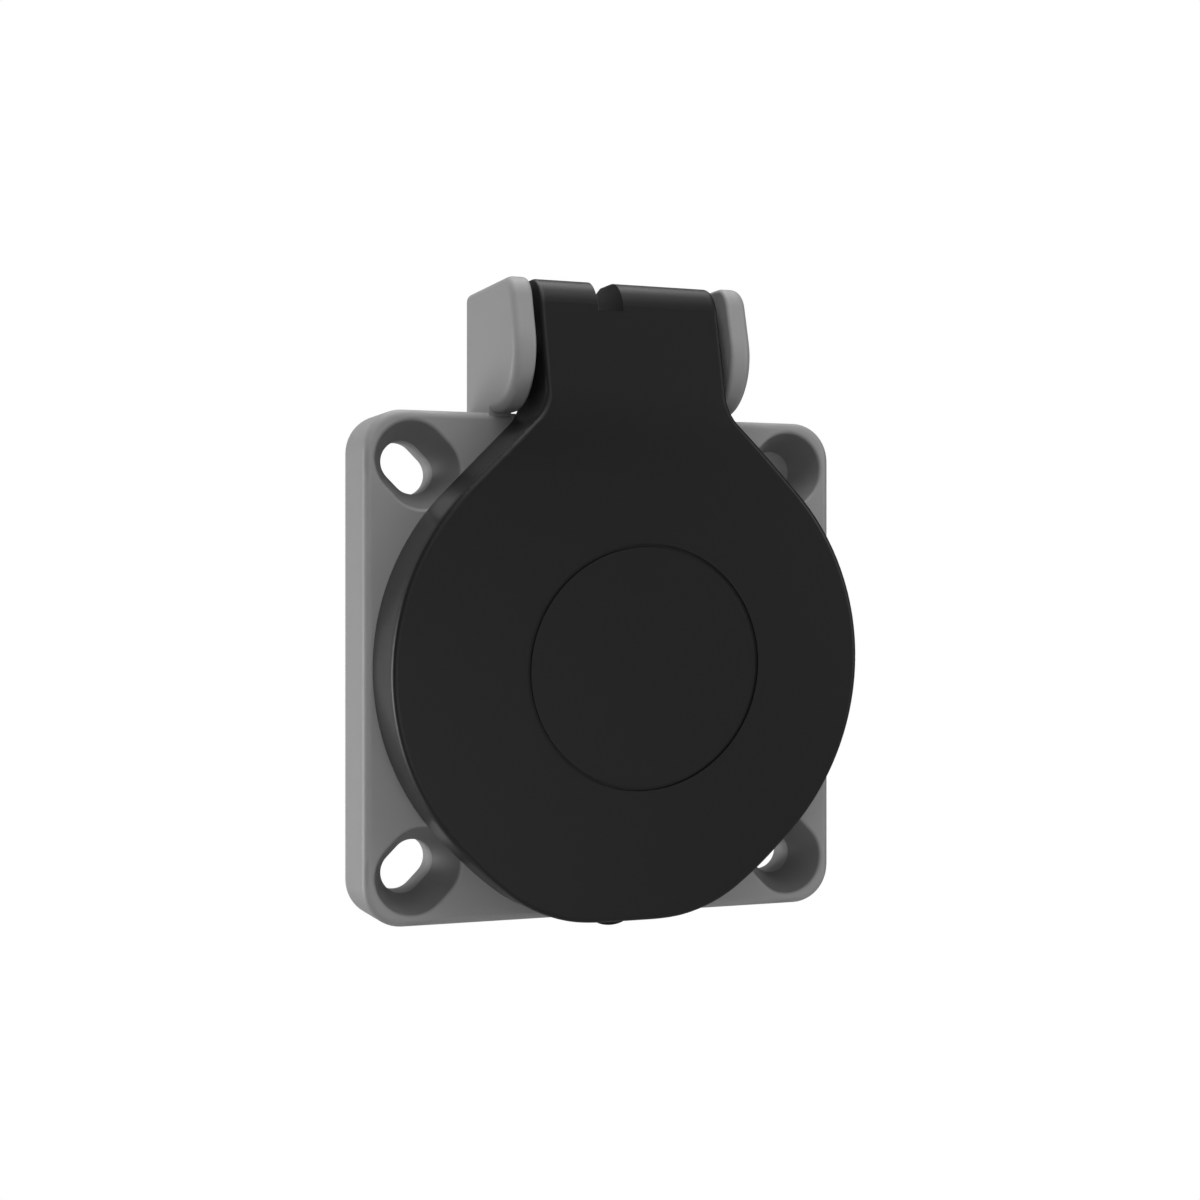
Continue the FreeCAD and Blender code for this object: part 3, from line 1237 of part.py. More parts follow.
def main():
    doc = FreeCAD.newDocument("panel_mount_socket")
    sheet = Sheet(doc)
    doc.recompute()
    nodes = make_all(doc, sheet)
    doc.recompute()
    check(doc, nodes)
    os.makedirs("parts", exist_ok=True)
    for node in nodes:
        node.Shape.exportStep(os.path.join("parts", f"{node.Label}.step"))
        print(f"{node.Label}: {len(node.Shape.Solids)} solid, {node.Shape.Volume:.1f} mm3")


main()
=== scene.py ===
"""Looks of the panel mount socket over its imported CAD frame.

Lengths are in metres. The hinge pin runs along X, the lid faces -Y and Z points up.
"""

import json
import math

import bmesh
import bpy
from mathutils import Matrix, Vector


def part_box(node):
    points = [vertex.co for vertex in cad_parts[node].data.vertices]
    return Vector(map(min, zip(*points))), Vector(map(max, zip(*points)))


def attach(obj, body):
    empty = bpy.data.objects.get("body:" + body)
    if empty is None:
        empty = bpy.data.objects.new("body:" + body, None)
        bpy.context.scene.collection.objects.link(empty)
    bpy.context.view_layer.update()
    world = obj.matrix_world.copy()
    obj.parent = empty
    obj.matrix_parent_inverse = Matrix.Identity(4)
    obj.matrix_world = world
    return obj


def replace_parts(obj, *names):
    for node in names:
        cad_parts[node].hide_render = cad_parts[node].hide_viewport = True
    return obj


MM = 0.001
WELD = 0.0005 * MM

# Colours of the plastics and the rubber, and each metal's colour with its tarnish.
PLASTIC_GREY = (0.325, 0.325, 0.325)
PLASTIC_BLACK = (0.009, 0.009, 0.0093)
PLASTIC_DARK = (0.028, 0.029, 0.031)
RUBBER = (0.018, 0.018, 0.018)
BRASS, BRASS_TARNISH = (0.72, 0.52, 0.24), (0.45, 0.28, 0.12)
ZINC, ZINC_TARNISH = (0.60, 0.61, 0.62), (0.42, 0.43, 0.47)
STEEL, STEEL_TARNISH = (0.46, 0.455, 0.45), (0.25, 0.24, 0.23)

# Patterns, as repeats in a metre, and how far flow mottling swings the colour.
MOULD_GRAIN, RUBBER_GRAIN, MOTTLE_SCALE = 6000.0, 2500.0, 90.0
SCRATCH_SCALE, STAIN_SCALE = 9000.0, 420.0
MOTTLE_SWING = 0.04

# Flange and its four fixing pockets. The painted shade in the pockets fades in over the lengths
# below.
FLANGE_FRONT = -7.5 * MM
SLOT_FLOOR = -3.2 * MM
SLOT_PLACE = 19.65 * MM
POCKET_REACH = 5.3 * MM
POCKET_INNER_SHARE = 0.94
RIM_START, RIM_WHOLE = 0.03 * MM, 0.35 * MM
FLOOR_BLEND = 0.06 * MM
# How far the painted shade in the pockets darkens the grey.
POCKET_SHADE_TONE = 0.63

# Lid, with a leaning front, a neck above it and a wider foot that ends in a flat.
LID_FACE = -14.95 * MM
LID_REAR = -7.65 * MM
LID_SLOPE = math.tan(math.radians(4.4))
LID_RADIUS = 24.2 * MM
FOOT_RADIUS = 25.25 * MM
LID_FOOT = -24.8 * MM
NECK_FOOT, NECK_BLEND = 18.0 * MM, 2.0 * MM
SKIRT_START, SKIRT_WHOLE = 0.9 * MM, 1.6 * MM
SKIRT_ROUGHNESS = 0.28

# Slight corners of the lid's outline: angle from straight down, bend, reach of the rounding.
SIDE_BEND = math.acos(LID_RADIUS / FOOT_RADIUS)
FLAT_BEND = math.acos(-LID_FOOT / FOOT_RADIUS)
OUTLINE_CORNERS = [(math.radians(45) - SIDE_BEND, SIDE_BEND, 5.0 * MM),
                   (FLAT_BEND, FLAT_BEND, 2.3 * MM)]

# Cuts on each side of such a corner, and the height below which the lid is cut.
CORNER_CUTS = 6
CUT_BELOW = LID_FOOT / 3

# The rounding starts at a share of the lid's radius and is whole a blend further out. Faces
# that look to the front keep their shading.
ROUNDED_FROM, ROUNDED_BLEND = 0.8, 0.1
FRONT_FACING = 0.99

# Finger tab: where it is in the lid, and the factors for its width, depth and length.
TAB_HALF, TAB_DEPTH = 1.45 * MM, 2.5 * MM
TAB_SHAPE = Vector((1.5, 0.25, 0.83))

# Lid spring round the hinge pin.
PIN = Vector((0.0, -8.0, 31.5)) * MM
WIRE_RADIUS = 0.45 * MM
COIL_RADIUS = 2.6 * MM
COIL_TURNS = 4.0
COIL_LEFT, COIL_RIGHT = -2.13 * MM, 4.1 * MM
LEG_DROP, LEG_RISE = math.radians(32.0), math.radians(2.3)
LOWER_LEG, UPPER_LEG = 7.16 * MM, 5.3 * MM
SPRING_POINTS = 330

# Screws: how steep the thread's flanks are, and the least radius to divide by, at the axis.
FLANK_STEEPNESS = 2.6
LEAST_RADIUS = 0.1 * MM

# Terminals, with the middle one on the axis, and the marks beside their screw holes.
POLE = 9.5 * MM
HOLE_RADIUS = 3.0 * MM
MARK_HEIGHT, MARK_SINK, MARK_EDGE = 0.22 * MM, 0.02 * MM, 0.06 * MM

# Softboxes: name, place, aim, width and height, watts.
SOFTBOXES = [
    ("key", (-0.7, 0.45, -0.15), (0, 0, -0.005), (0.5, 0.5), 4.62),
    ("top", (-0.1, -0.25, 0.7), (0, 0, 0), (0.7, 0.5), 3.3),
    ("front", (-0.35, -0.8, 0.35), (0, 0, 0), (0.5, 0.5), 1.1),
    ("low", (-0.15, -0.75, -0.22), (0, 0, -0.01), (0.8, 0.16), 0.9),
    ("right", (0.6, -0.45, 0.15), (0, 0, 0), (0.4, 0.6), 1.5),
    ("overhead", (0.05, 0.25, 0.75), (0, 0, 0), (0.6, 0.5), 3.2),
]
ROOM_LIGHT = 0.04
CAMERA_PLACE = Vector((-71.229, -188.702, 6.582)) * MM
CAMERA_TURN = math.radians(-21.238)
CAMERA_LENS = 58.25

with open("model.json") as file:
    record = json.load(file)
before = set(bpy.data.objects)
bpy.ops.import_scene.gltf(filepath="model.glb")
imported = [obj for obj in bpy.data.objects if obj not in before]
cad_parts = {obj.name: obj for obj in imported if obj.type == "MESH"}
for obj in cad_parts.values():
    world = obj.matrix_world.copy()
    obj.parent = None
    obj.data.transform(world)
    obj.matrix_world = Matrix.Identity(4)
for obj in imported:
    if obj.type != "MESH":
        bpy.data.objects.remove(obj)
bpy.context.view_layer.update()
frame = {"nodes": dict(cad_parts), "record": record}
NODES = frame["nodes"]


# ---- node helpers

def feed(socket, value):
    """Links an output to an input, or sets the input to a plain value."""
    if isinstance(value, bpy.types.NodeSocket):
        socket.id_data.links.new(value, socket)
    else:
        socket.default_value = value


def plug(node, **values):
    """Feeds a node's inputs by their labels, with _ for a space, and gives its first output."""
    for label, value in values.items():
        feed(node.inputs[label.replace("_", " ")], value)
    return node.outputs[0]


def add_node(tree, kind, **settings):
    """A new node with its own settings."""
    node = tree.nodes.new(kind)
    for name, value in settings.items():
        setattr(node, name, value)
    return node


def made(tree, kind, **values):
    """The first output of a new node whose inputs are fed by their labels."""
    return plug(add_node(tree, kind), **values)


def sums_in(tree):
    """A short way to add math nodes to one tree."""
    def calc(operation, a, b=0.0):
        node = add_node(tree, "ShaderNodeMath", operation=operation)
        feed(node.inputs[0], a)
        feed(node.inputs[1], b)
        return node.outputs[0]
    return calc


def new_tree(name, kind, inputs, outputs):
    """A node tree with named inputs and outputs."""
    tree = bpy.data.node_groups.new(name, kind)
    for label, sort, default in inputs:
        socket = tree.interface.new_socket(label, in_out="INPUT", socket_type=f"NodeSocket{sort}")
        if default is not None:
            socket.default_value = default
    for label, sort in outputs:
        tree.interface.new_socket(label, in_out="OUTPUT", socket_type=f"NodeSocket{sort}")
    given = tree.nodes.new("NodeGroupInput").outputs
    return tree, given, tree.nodes.new("NodeGroupOutput").inputs


# ---- shader helpers

def remap(tree, value, low, high, to_low, to_high):
    """A value carried from one range to another and held at its ends."""
    node = add_node(tree, "ShaderNodeMapRange", clamp=True)
    for socket, number in zip(list(node.inputs)[:5], (value, low, high, to_low, to_high)):
        feed(socket, number)
    return node.outputs[0]


def noise(tree, place, scale, detail, roughness=0.5):
    """Noise over the surface, from 0 to 1."""
    node = add_node(tree, "ShaderNodeTexNoise")
    plug(node, Vector=place, Scale=scale, Detail=detail, Roughness=roughness)
    return node.outputs["Fac"]


def scaled(tree, color, factor):
    """A colour times a value."""
    node = add_node(tree, "ShaderNodeVectorMath", operation="SCALE")
    feed(node.inputs[0], color)
    feed(node.inputs["Scale"], factor)
    return node.outputs[0]


def surface_place(tree):
    """The place on the piece."""
    return add_node(tree, "ShaderNodeTexCoord").outputs["Object"]


def surface_axes(tree):
    """X, Y and Z of the place on the piece."""
    split = add_node(tree, "ShaderNodeSeparateXYZ")
    feed(split.inputs[0], surface_place(tree))
    return split.outputs


# ---- shared surface effects

def moulded_group():
    """Fine spark-eroded grain and faint flow mottling of a moulded part."""
    group, given, end = new_tree(
        "moulded_surface", "ShaderNodeTree",
        [("Color", "Color", (0.2, 0.2, 0.2, 1)), ("Roughness", "Float", 0.5),
         ("Grain Scale", "Float", MOULD_GRAIN), ("Variation", "Float", MOTTLE_SWING)],
        [("Color", "Color"), ("Roughness", "Float"), ("Height", "Float")])
    calc = sums_in(group)
    place = surface_place(group)
    grain = noise(group, place, given["Grain Scale"], 2.0, 0.6)
    mottle = noise(group, place, MOTTLE_SCALE, 3.0)
    swing = calc("MULTIPLY", calc("SUBTRACT", mottle, 0.5), given["Variation"])
    tone = calc("ADD", calc("MULTIPLY", swing, 2.0), 1.0)
    dulling = calc("MULTIPLY", calc("SUBTRACT", grain, 0.5), 0.12)
    feed(end["Color"], scaled(group, given["Color"], tone))
    feed(end["Roughness"], calc("ADD", given["Roughness"], dulling))
    feed(end["Height"], grain)
    return group


def metal_group():
    """Drawn or turned metal: long fine scratches, and stains in the plating."""
    group, given, end = new_tree(
        "worked_metal", "ShaderNodeTree",
        [("Color", "Color", (0.6, 0.6, 0.6, 1)), ("Tarnish", "Color", (0.3, 0.3, 0.3, 1)),
         ("Roughness", "Float", 0.3), ("Stretch", "Vector", (1.0, 8.0, 1.0))],
        [("Color", "Color"), ("Roughness", "Float"), ("Height", "Float")])
    calc = sums_in(group)
    place = surface_place(group)
    stretched = add_node(group, "ShaderNodeVectorMath", operation="DIVIDE")
    feed(stretched.inputs[0], place)
    feed(stretched.inputs[1], given["Stretch"])
    scratches = noise(group, stretched.outputs[0], SCRATCH_SCALE, 4.0, 0.7)
    stains = noise(group, place, STAIN_SCALE, 4.0, 0.6)
    mix = add_node(group, "ShaderNodeMix", data_type="RGBA")
    feed(mix.inputs[0], remap(group, stains, 0.45, 0.75, 0.0, 0.6))
    feed(mix.inputs[6], given["Color"])
    feed(mix.inputs[7], given["Tarnish"])
    dulling = calc("MULTIPLY", calc("SUBTRACT", scratches, 0.45), 0.25)
    feed(end["Color"], mix.outputs[2])
    feed(end["Roughness"], calc("ADD", given["Roughness"], dulling))
    feed(end["Height"], scratches)
    return group


def pocket_shade_group():
    """1 inside the countersunk pockets of the four fixing slots and 0 outside them; it marks where
    shade is painted.
    """
    group, given, end = new_tree(
        "pocket_mask", "ShaderNodeTree",
        [("Place", "Float", SLOT_PLACE), ("Reach", "Float", POCKET_REACH),
         ("Rim", "Float", FLANGE_FRONT), ("Floor", "Float", SLOT_FLOOR)],
        [("Mask", "Float")])
    calc = sums_in(group)
    axes = surface_axes(group)
    aside, above = (calc("SUBTRACT", calc("ABSOLUTE", axes[axis]), given["Place"])
                    for axis in ("X", "Z"))
    away = calc("SQRT", calc("ADD", calc("MULTIPLY", aside, aside), calc("MULTIPLY", above, above)))
    reach, rim, floor, depth = given["Reach"], given["Rim"], given["Floor"], axes["Y"]
    near = remap(group, away, calc("MULTIPLY", reach, POCKET_INNER_SHARE), reach, 1.0, 0.0)
    start, whole = calc("ADD", rim, RIM_START), calc("ADD", rim, RIM_WHOLE)
    below_rim = remap(group, depth, start, whole, 0.0, 1.0)
    over_floor = remap(group, depth, calc("SUBTRACT", floor, FLOOR_BLEND), floor, 1.0, 0.0)
    feed(end["Mask"], calc("MULTIPLY", near, calc("MULTIPLY", below_rim, over_floor)))
    return group


MOULDED = moulded_group()
WORKED = metal_group()
POCKET_SHADE = pocket_shade_group()


# ---- finishes

def principled(name):
    """A material with its tree and its shader."""
    material = bpy.data.materials.new(name)
    material.use_nodes = True
    return material, material.node_tree, material.node_tree.nodes["Principled BSDF"]


def dress(tree, shader, effect, bump, distance):
    """Feeds a surface effect to the shader, its height as a bump."""
    relief = made(tree, "ShaderNodeBump", Strength=bump, Distance=distance,
                  Height=effect.outputs["Height"])
    plug(shader, Base_Color=effect.outputs["Color"], Roughness=effect.outputs["Roughness"],
         Normal=relief)


def moulded(name, color, roughness, grain=MOULD_GRAIN, bump=0.25, ior=1.5):
    """Moulded plastic or rubber."""
    material, tree, shader = principled(name)
    effect = add_node(tree, "ShaderNodeGroup", node_tree=MOULDED)
    plug(effect, Color=(*color, 1), Roughness=roughness, Grain_Scale=grain,
         Variation=MOTTLE_SWING)
    plug(shader, IOR=ior)
    dress(tree, shader, effect, bump, 0.02 * MM)
    return material


def metal(name, color, tarnish, roughness, stretch):
    """Worked metal, with its scratches drawn out along the stretch."""
    material, tree, shader = principled(name)
    effect = add_node(tree, "ShaderNodeGroup", node_tree=WORKED)
    plug(effect, Color=(*color, 1), Tarnish=(*tarnish, 1), Roughness=roughness, Stretch=stretch)
    plug(shader, Metallic=1.0)
    dress(tree, shader, effect, 0.2, 0.01 * MM)
    return material


def paint_pocket_shade(material):
    """Paints shade into the fixing pockets: darkens the housing's colour inside them, where the
    recess lies in shadow.
    """
    tree = material.node_tree
    base = tree.nodes["Principled BSDF"].inputs["Base Color"]
    color = base.links[0].from_socket
    pockets = add_node(tree, "ShaderNodeGroup", node_tree=POCKET_SHADE)
    mask = plug(pockets, Place=SLOT_PLACE, Reach=POCKET_REACH, Rim=FLANGE_FRONT, Floor=SLOT_FLOOR)
    feed(base, scaled(tree, color, remap(tree, mask, 0.0, 1.0, 1.0, POCKET_SHADE_TONE)))


def polish_skirt(material):
    """Smoother finish on the lid's skirt, behind the grained front and below the neck."""
    tree = material.node_tree
    calc = sums_in(tree)
    dulling = tree.nodes["Principled BSDF"].inputs["Roughness"]
    grained = dulling.links[0].from_socket
    axes = surface_axes(tree)
    upright = calc("ADD", axes["Y"], calc("MULTIPLY", axes["Z"], LID_SLOPE))
    behind = remap(tree, upright, LID_FACE + SKIRT_START, LID_FACE + SKIRT_WHOLE, 0.0, 1.0)
    below = remap(tree, axes["Z"], NECK_FOOT - NECK_BLEND, NECK_FOOT, 1.0, 0.0)
    skirt = calc("MULTIPLY", behind, below)
    feed(dulling, remap(tree, skirt, 0.0, 1.0, grained, SKIRT_ROUGHNESS))


FINISHES = {
    "housing_plastic": moulded("housing_grey", PLASTIC_GREY, 0.5),
    "lid_plastic": moulded("lid_black", PLASTIC_BLACK, 0.41, bump=0.15, ior=1.385),
    "contact_face_plastic": moulded("contact_face_black", PLASTIC_DARK, 0.5),
    "terminal_block_plastic": moulded("terminal_block_black", PLASTIC_DARK, 0.55),
    "seal_rubber": moulded("seal_rubber", RUBBER, 0.72, grain=RUBBER_GRAIN, bump=0.4),
    "contact_brass": metal("contact_brass", BRASS, BRASS_TARNISH, 0.3, (1.0, 8.0, 1.0)),
    "zinc_steel": metal("zinc_steel", ZINC, ZINC_TARNISH, 0.32, (6.0, 6.0, 1.0)),
    "spring_steel": metal("spring_steel", STEEL, STEEL_TARNISH, 0.28, (8.0, 1.0, 1.0)),
}
# Painted shade in the fixing pockets.
paint_pocket_shade(FINISHES["housing_plastic"])
polish_skirt(FINISHES["lid_plastic"])


def paint_cad_nodes():
    """Puts each finish on the material slots of the frame's own nodes."""
    for part in frame["record"]["subparts"]:
        for slot in NODES[part["node"]].material_slots:
            slot.material = FINISHES[part["material_slot"]]


# ---- mesh and piece helpers

def corners_of(node):
    """The low and the high corner of a node's box."""
    return tuple(Vector(corner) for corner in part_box(node))


def vector_of(tree, x, y, z):
    """A vector from three values."""
    return made(tree, "ShaderNodeCombineXYZ", X=x, Y=y, Z=z)


def finish_tree(tree, end, geometry, material):
    """Ends a geometry tree in plain geometry with one material."""
    whole = made(tree, "GeometryNodeRealizeInstances", Geometry=geometry)
    feed(end["Geometry"], made(tree, "GeometryNodeSetMaterial", Geometry=whole, Material=material))


def evaluated_mesh(thing):
    """A plain mesh of an object with its modifiers in effect."""
    shaped = thing.evaluated_get(bpy.context.evaluated_depsgraph_get())
    return bpy.data.meshes.new_from_object(shaped)


def grow(name, tree, start=None, **values):
    """The plain mesh that a geometry tree makes, from a start mesh where it needs one."""
    holder = bpy.data.objects.new(name + "_holder", start or bpy.data.meshes.new(name + "_holder"))
    bpy.context.scene.collection.objects.link(holder)
    modifier = holder.modifiers.new("shape", "NODES")
    modifier.node_group = tree
    for item in tree.interface.items_tree:
        key = item.name.replace(" ", "_")
        if item.in_out == "INPUT" and key in values:
            modifier[item.identifier] = values[key]
    mesh = evaluated_mesh(holder)
    mesh.name = name
    bpy.data.objects.remove(holder)
    return mesh


def mesh_from(shape, name):
    """Turns a finished bmesh into a mesh with its faces outwards."""
    bmesh.ops.recalc_face_normals(shape, faces=shape.faces)
    mesh = bpy.data.meshes.new(name)
    shape.to_mesh(mesh)
    shape.free()
    return mesh


def show_piece(name, mesh, body, slot):
    """Shows a finished mesh as a piece of one body, in the finish of a material slot."""
    mesh.name = name
    mesh.materials.clear()
    mesh.materials.append(FINISHES[slot])
    piece = bpy.data.objects.new(name, mesh)
    bpy.context.scene.collection.objects.link(piece)
    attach(piece, body)
    return piece


def add_piece(name, mesh, body, slot, sharp=35.0):
    """Closes a mesh's seams, shades it smooth up to an angle in degrees and shows it."""
    shape = bmesh.new()
    shape.from_mesh(mesh)
    bmesh.ops.remove_doubles(shape, verts=shape.verts, dist=WELD)
    bmesh.ops.recalc_face_normals(shape, faces=shape.faces)
    shape.to_mesh(mesh)
    shape.free()
    for polygon in mesh.polygons:
        polygon.use_smooth = True
    mesh.set_sharp_from_angle(angle=math.radians(sharp))
    return show_piece(name, mesh, body, slot)


# ---- lid

def cut_for_rounding(shape):
    """Cuts the lower part of the lid along planes through its axis, close about each corner."""
    for corner, _, reach in OUTLINE_CORNERS:
        span = reach / LID_RADIUS
        for side in (-1, 1):
            for step in range(-CORNER_CUTS, CORNER_CUTS + 1):
                angle = side * (corner + span * step / CORNER_CUTS)
                lower = [f for f in shape.faces if f.calc_center_median().z < CUT_BELOW]
                rims = dict.fromkeys(part for f in lower for part in (*f.verts, *f.edges))
                bmesh.ops.bisect_plane(shape, geom=[*lower, *rims], dist=WELD,
                                       plane_co=(0, 0, 0),
                                       plane_no=(math.cos(angle), 0, math.sin(angle)))


def round_corners(shape, shade):
    """Draws the outline in about each corner and turns the shading with it."""
    for vert in shape.verts:
        place = vert.co.copy()
        radius = math.hypot(place.x, place.z)
        side = 1 if place.x > 0 else -1
        around = math.atan2(abs(place.x), -place.z)
        weight = min(1.0, (radius / LID_RADIUS - ROUNDED_FROM) / ROUNDED_BLEND)
        for corner, bend, reach in OUTLINE_CORNERS:
            share = 1 - abs(around - corner) * radius / reach
            if share <= 0 or weight <= 0:
                continue
            # A parabola, flush with the outline at the ends of its reach.
            pull = 1 - weight * bend * reach * share * share / 4 / radius
            vert.co.x, vert.co.z = place.x * pull, place.z * pull
            turn = bend / 2 * share * (1 if around < corner else -1)
            for loop in vert.link_loops:
                x, y, z = loop[shade]
                if abs(y) < FRONT_FACING:
                    aim, flat = math.atan2(side * x, -z) + turn, math.hypot(x, z)
                    loop[shade] = (side * flat * math.sin(aim), y, -flat * math.cos(aim))


def reshape_tab(shape, shade):
    """Makes the finger tab at the rear of the flat foot broad and shallow."""
    root = Vector((0.0, LID_REAR, LID_FOOT))
    for vert in shape.verts:
        away = vert.co - root
        if away.z < WELD and abs(away.x) < TAB_HALF and -TAB_DEPTH < away.y < WELD:
            vert.co = root + away * TAB_SHAPE
            for loop in vert.link_loops:
                # Normals go by the inverse of the factors.
                shaped = (part / by for part, by in zip(loop[shade], TAB_SHAPE))
                loop[shade] = Vector(shaped).normalized()


def make_lid_shell():
    """The lid, with a smooth outline and its finger tab, in the shading of the solid."""
    mesh = NODES["lid"].data.copy()
    normals = [Vector(corner.vector) for corner in mesh.corner_normals]
    shape = bmesh.new()
    shape.from_mesh(mesh)
    shade = shape.loops.layers.float_vector.new("shade")
    for loop, normal in zip((loop for face in shape.faces for loop in face.loops), normals):
        loop[shade] = normal
    bmesh.ops.remove_doubles(shape, verts=shape.verts, dist=WELD)
    cut_for_rounding(shape)
    round_corners(shape, shade)
    reshape_tab(shape, shade)
    shape.to_mesh(mesh)
    shape.free()
    mesh.normals_split_custom_set([item.vector for item in mesh.attributes["shade"].data])
    mesh.attributes.remove(mesh.attributes["shade"])
    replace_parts(show_piece("lid_shell", mesh, "lid", "lid_plastic"), "lid")


# ---- lid spring

def wound_spring_tree():
    """Round wire wound about the X direction, with a straight leg at either end."""
    tree, given, end = new_tree("wound_spring", "GeometryNodeTree", [
        ("Centre", "Vector", None), ("Wire Radius", "Float", 0.0), ("Coil Radius", "Float", 0.0),
        ("Left", "Float", 0.0), ("Right", "Float", 0.0), ("Turns", "Float", 4.0),
        ("First Angle", "Float", 0.0), ("Closing Angle", "Float", 0.0),
        ("Lower Leg", "Float", 0.0), ("Upper Leg", "Float", 0.0), ("Points", "Int", 300),
        ("Material", "Material", None)], [("Geometry", "Geometry")])
    calc = sums_in(tree)
    coil, left = given["Coil Radius"], given["Left"]

    winding = calc("MULTIPLY", given["Turns"], math.tau)
    wound_length = calc("MULTIPLY", coil, calc("ADD", winding, given["Closing Angle"]))
    whole = calc("ADD", calc("ADD", given["Lower Leg"], wound_length), given["Upper Leg"])
    line = made(tree, "GeometryNodeCurvePrimitiveLine", End=vector_of(tree, whole, 0.0, 0.0))
    points = made(tree, "GeometryNodeResampleCurve", Curve=line, Count=given["Points"])

    place = made(tree, "GeometryNodeInputPosition")
    along = calc("SUBTRACT", made(tree, "ShaderNodeSeparateXYZ", Vector=place), given["Lower Leg"])
    wound = calc("MAXIMUM", calc("MINIMUM", along, wound_length), 0.0)
    beyond = calc("SUBTRACT", along, wound)
    angle = calc("ADD", given["First Angle"], calc("DIVIDE", wound, coil))
    share = calc("MINIMUM", calc("DIVIDE", calc("DIVIDE", wound, coil), winding), 1.0)
    across = calc("ADD", left, calc("MULTIPLY", share, calc("SUBTRACT", given["Right"], left)))
    sine, cosine = calc("SINE", angle), calc("COSINE", angle)
    ahead = calc("ADD", calc("MULTIPLY", coil, sine), calc("MULTIPLY", beyond, cosine))
    above = calc("SUBTRACT", calc("MULTIPLY", beyond, sine), calc("MULTIPLY", coil, cosine))

    moved = add_node(tree, "ShaderNodeVectorMath", operation="ADD")
    feed(moved.inputs[0], vector_of(tree, across, calc("MULTIPLY", ahead, -1.0), above))
    feed(moved.inputs[1], given["Centre"])
    path = made(tree, "GeometryNodeSetPosition", Geometry=points, Position=moved.outputs[0])
    ring = made(tree, "GeometryNodeCurvePrimitiveCircle", Resolution=14,
                Radius=given["Wire Radius"])
    wire = made(tree, "GeometryNodeCurveToMesh", Curve=path, Profile_Curve=ring, Fill_Caps=True)
    finish_tree(tree, end, wire, given["Material"])
    return tree


def make_lid_spring():
    """Torsion spring round the pin, its lower leg on the flange and its upper one in the lid."""
    mesh = grow("lid_spring_wire", wound_spring_tree(), Centre=PIN, Wire_Radius=WIRE_RADIUS,
                Coil_Radius=COIL_RADIUS, Left=COIL_LEFT, Right=COIL_RIGHT, Turns=COIL_TURNS,
                First_Angle=LEG_DROP, Closing_Angle=math.pi - LEG_DROP - LEG_RISE,
                Lower_Leg=LOWER_LEG, Upper_Leg=UPPER_LEG, Points=SPRING_POINTS,
                Material=FINISHES["spring_steel"])
    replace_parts(add_piece("lid_spring_wire", mesh, "socket", "spring_steel"), "lid_spring")


# ---- screws

def turned(name, profile, steps=64, closed=False):
    """A mesh turned about the Z axis from points that hold a radius and a height."""
    shape = bmesh.new()
    turns = [math.tau * i / steps for i in range(steps)]
    rings = [[shape.verts.new((radius * math.cos(a), radius * math.sin(a), height)) for a in turns]
             for radius, height in profile]
    pairs = list(zip(rings, rings[1:])) + ([(rings[-1], rings[0])] if closed else [])
    for below, above in pairs:
        for i in range(steps):
            j = (i + 1) % steps
            shape.faces.new((below[i], below[j], above[j], above[i]))
    bmesh.ops.remove_doubles(shape, verts=shape.verts, dist=WELD)
    return mesh_from(shape, name)


def wedge(name, half_x, half_y, top, bottom, taper):
    """A cutter with upright ends at the top, drawn in by the taper at the bottom."""
    shape = bmesh.new()
    upper, lower = ([shape.verts.new(((half_x - less) * x, (half_y - less) * y, height))
                     for x, y in ((-1, -1), (1, -1), (1, 1), (-1, 1))]
                    for less, height in ((0.0, top), (taper, bottom)))
    shape.faces.new(upper)
    shape.faces.new(list(reversed(lower)))
    for i in range(4):
        j = (i + 1) % 4
        shape.faces.new((upper[i], lower[i], lower[j], upper[j]))
    return mesh_from(shape, name)


def cut_away(mesh, cutter):
    """The first mesh without what the second one covers."""
    part, tool = (bpy.data.objects.new(m.name, m) for m in (mesh, cutter))
    for thing in (part, tool):
        bpy.context.scene.collection.objects.link(thing)
    modifier = part.modifiers.new("cut", "BOOLEAN")
    modifier.operation, modifier.solver, modifier.object = "DIFFERENCE", "EXACT", tool
    result = evaluated_mesh(part)
    result.name = mesh.name
    for thing in (part, tool):
        bpy.data.objects.remove(thing)
    return result


